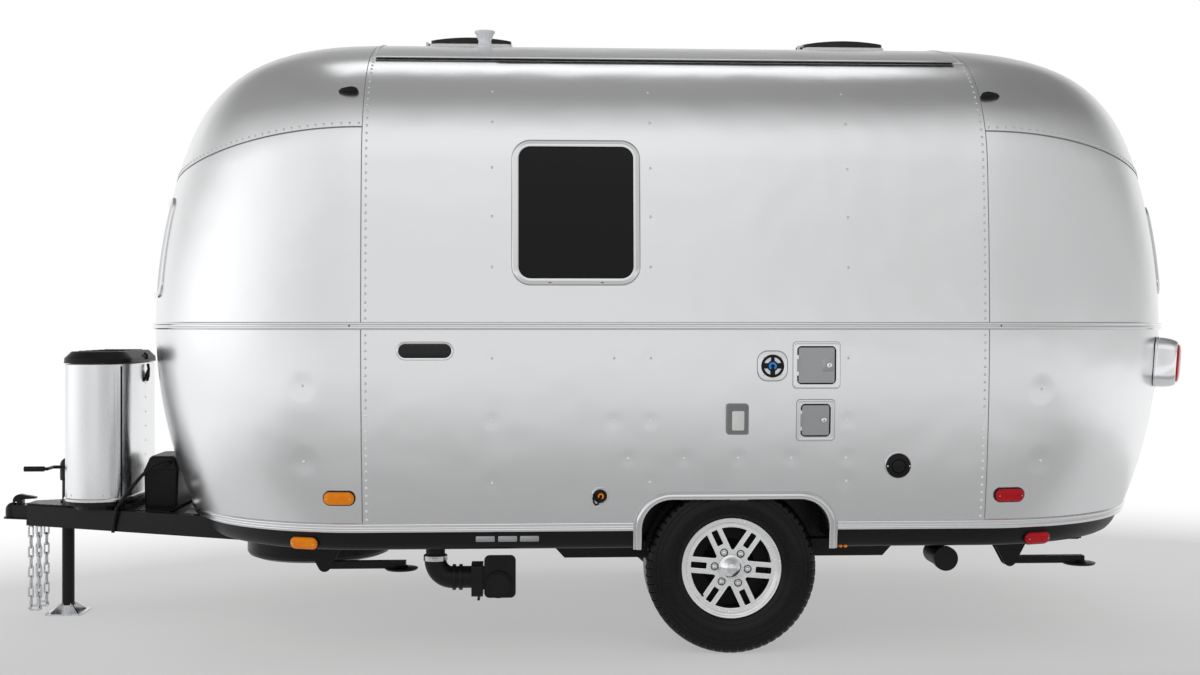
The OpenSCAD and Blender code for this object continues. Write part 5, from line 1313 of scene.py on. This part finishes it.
CEILING_LEVELS = ((0.22, 0.84), (0.3, 0.8), (0.38, 0.97), (0.5, 1.0), (0.63, 1.0), (0.7, 0.78), (0.8, 0.55),
                  (0.88, 0.34), (1.0, 0.33))
SIDE_LEVELS = ((0.0, 0.96), (0.05, 0.84), (0.11, 0.73), (0.19, 0.71), (0.28, 0.67), (0.42, 0.73),
               (0.56, 0.74), (0.65, 0.58), (0.8, 0.51), (1.0, 0.44))
STUDIO_STRENGTH, BACK_SHARE = 1.3, 0.55


def studio_world():
    """Bright walls under a dark ceiling, less light from the right, and a white backdrop."""
    world = bpy.data.worlds.new("studio")
    bpy.context.scene.world = world
    world.use_nodes = True
    tree = world.node_tree
    sky = tree.nodes["Background"]
    sky.inputs["Strength"].default_value = STUDIO_STRENGTH
    where = add_node(tree, "TexCoord").outputs["Generated"]
    way = add_node(tree, "SeparateXYZ", {"Vector": where}).outputs
    upward = combine(tree, "ADD", way["Z"], combine(tree, "MULTIPLY", way["Y"], BACK_SHARE))
    ceiling = grey_ramp(tree, remap(tree, upward, -1, 1), CEILING_LEVELS)
    sides = grey_ramp(tree, remap(tree, way["X"], -1, 1), SIDE_LEVELS)
    level = combine(tree, "MULTIPLY", ceiling, sides)
    behind = remap(tree, way["Y"], 0.35, 0.85, between="SMOOTHSTEP")
    low_down = remap(tree, way["Z"], 0.25, 0.55, 1, 0, "SMOOTHSTEP")
    seen = add_node(tree, "LightPath").outputs["Is Camera Ray"]
    backdrop = combine(tree, "MAXIMUM", combine(tree, "MULTIPLY", behind, low_down), seen)
    mix = add_node(tree, "Mix", {"Factor": backdrop, "A": level, "B": 1 / STUDIO_STRENGTH})
    tree.links.new(mix.outputs["Result"], sky.inputs["Color"])


# how much the floor glows from 9 m in front of the caravan to its middle line, its dip in front of the
# caravan being painted shade

FLOOR_CORNERS = ((-20, -20), (20, -20), (20, 400), (-20, 400))
FLOOR_GLOW_AND_SHADE = ((0.0, 0.68), (0.2, 0.6), (0.48, 0.36), (0.64, 0.1), (0.76, 0.08), (0.86, 0.38), (1.0, 0.44))


def floor_finish():
    """Pale floor that glows a little, least in front of the caravan as painted shade, and turns white far
    off.
    """
    mat = finish_of("floor", (0.7, 0.7, 0.7), 0.9, 0, 3, 0.03, 0.01, sheen=0.1)
    tree = mat.node_tree
    where = add_node(tree, "TexCoord").outputs["Object"]
    depth = add_node(tree, "SeparateXYZ", {"Vector": where}).outputs["Y"]
    near = grey_ramp(tree, remap(tree, depth, -9, 0), FLOOR_GLOW_AND_SHADE, "EASE")
    round_part = {"Vector": where, "Location": (-0.8, 2.75, 0), "Scale": (0.72, 0.55, 0)}
    shift = add_node(tree, "Mapping", round_part).outputs["Vector"]
    reach = add_node(tree, "VectorMath", {0: shift}, operation="LENGTH").outputs["Value"]
    far = remap(tree, reach, 3.2, 5.5, between="SMOOTHSTEP")
    share = combine(tree, "MAXIMUM", far, near)
    plain = tree.nodes["Principled BSDF"].outputs["BSDF"]
    glow = add_node(tree, "Emission").outputs["Emission"]
    mix = add_node(tree, "MixShader", {0: share, 1: plain, 2: glow}).outputs["Shader"]
    tree.links.new(mix, tree.nodes["Material Output"].inputs["Surface"])
    return mat


def softbox(name, place, target, width, height, power):
    light = bpy.data.lights.new(name, "AREA")
    light.shape = "RECTANGLE"
    light.size, light.size_y = width, height
    light.energy = power
    obj = bpy.data.objects.new(name, light)
    bpy.context.scene.collection.objects.link(obj)
    obj.matrix_world = pointing(Vector(place), Vector(place) - Vector(target))


studio_world()
floor_mesh = bpy.data.meshes.new("floor")
floor_mesh.from_pydata([(x, y, 0) for x, y in FLOOR_CORNERS], [], [[0, 1, 2, 3]])
floor_mesh.materials.append(floor_finish())
floor = bpy.data.objects.new("floor", floor_mesh)
bpy.context.scene.collection.objects.link(floor)
softbox("top_light", (0.2, 1.9, 8.0), (0.2, 0, 1.5), 6, 2.2, 42)

# the photo's camera

CAMERA_PLACE = (-0.2655, -6.978, 1.377)
CAMERA_YAW = 2.86
SENSOR_MM = 36
FOCAL_PX, PHOTO_W, HORIZON_UP_PX = 1432, 1200, 12.5
eye = bpy.data.cameras.new("photo_camera")
eye.sensor_width = SENSOR_MM
eye.lens = SENSOR_MM * FOCAL_PX / PHOTO_W
eye.shift_y = -HORIZON_UP_PX / PHOTO_W
eye.clip_end = 200
camera = bpy.data.objects.new("photo_camera", eye)
camera.location = CAMERA_PLACE
camera.rotation_euler = (math.radians(90), 0, math.radians(-CAMERA_YAW))
bpy.context.scene.collection.objects.link(camera)
bpy.context.scene.camera = camera
bpy.context.scene.view_settings.view_transform = "Standard"
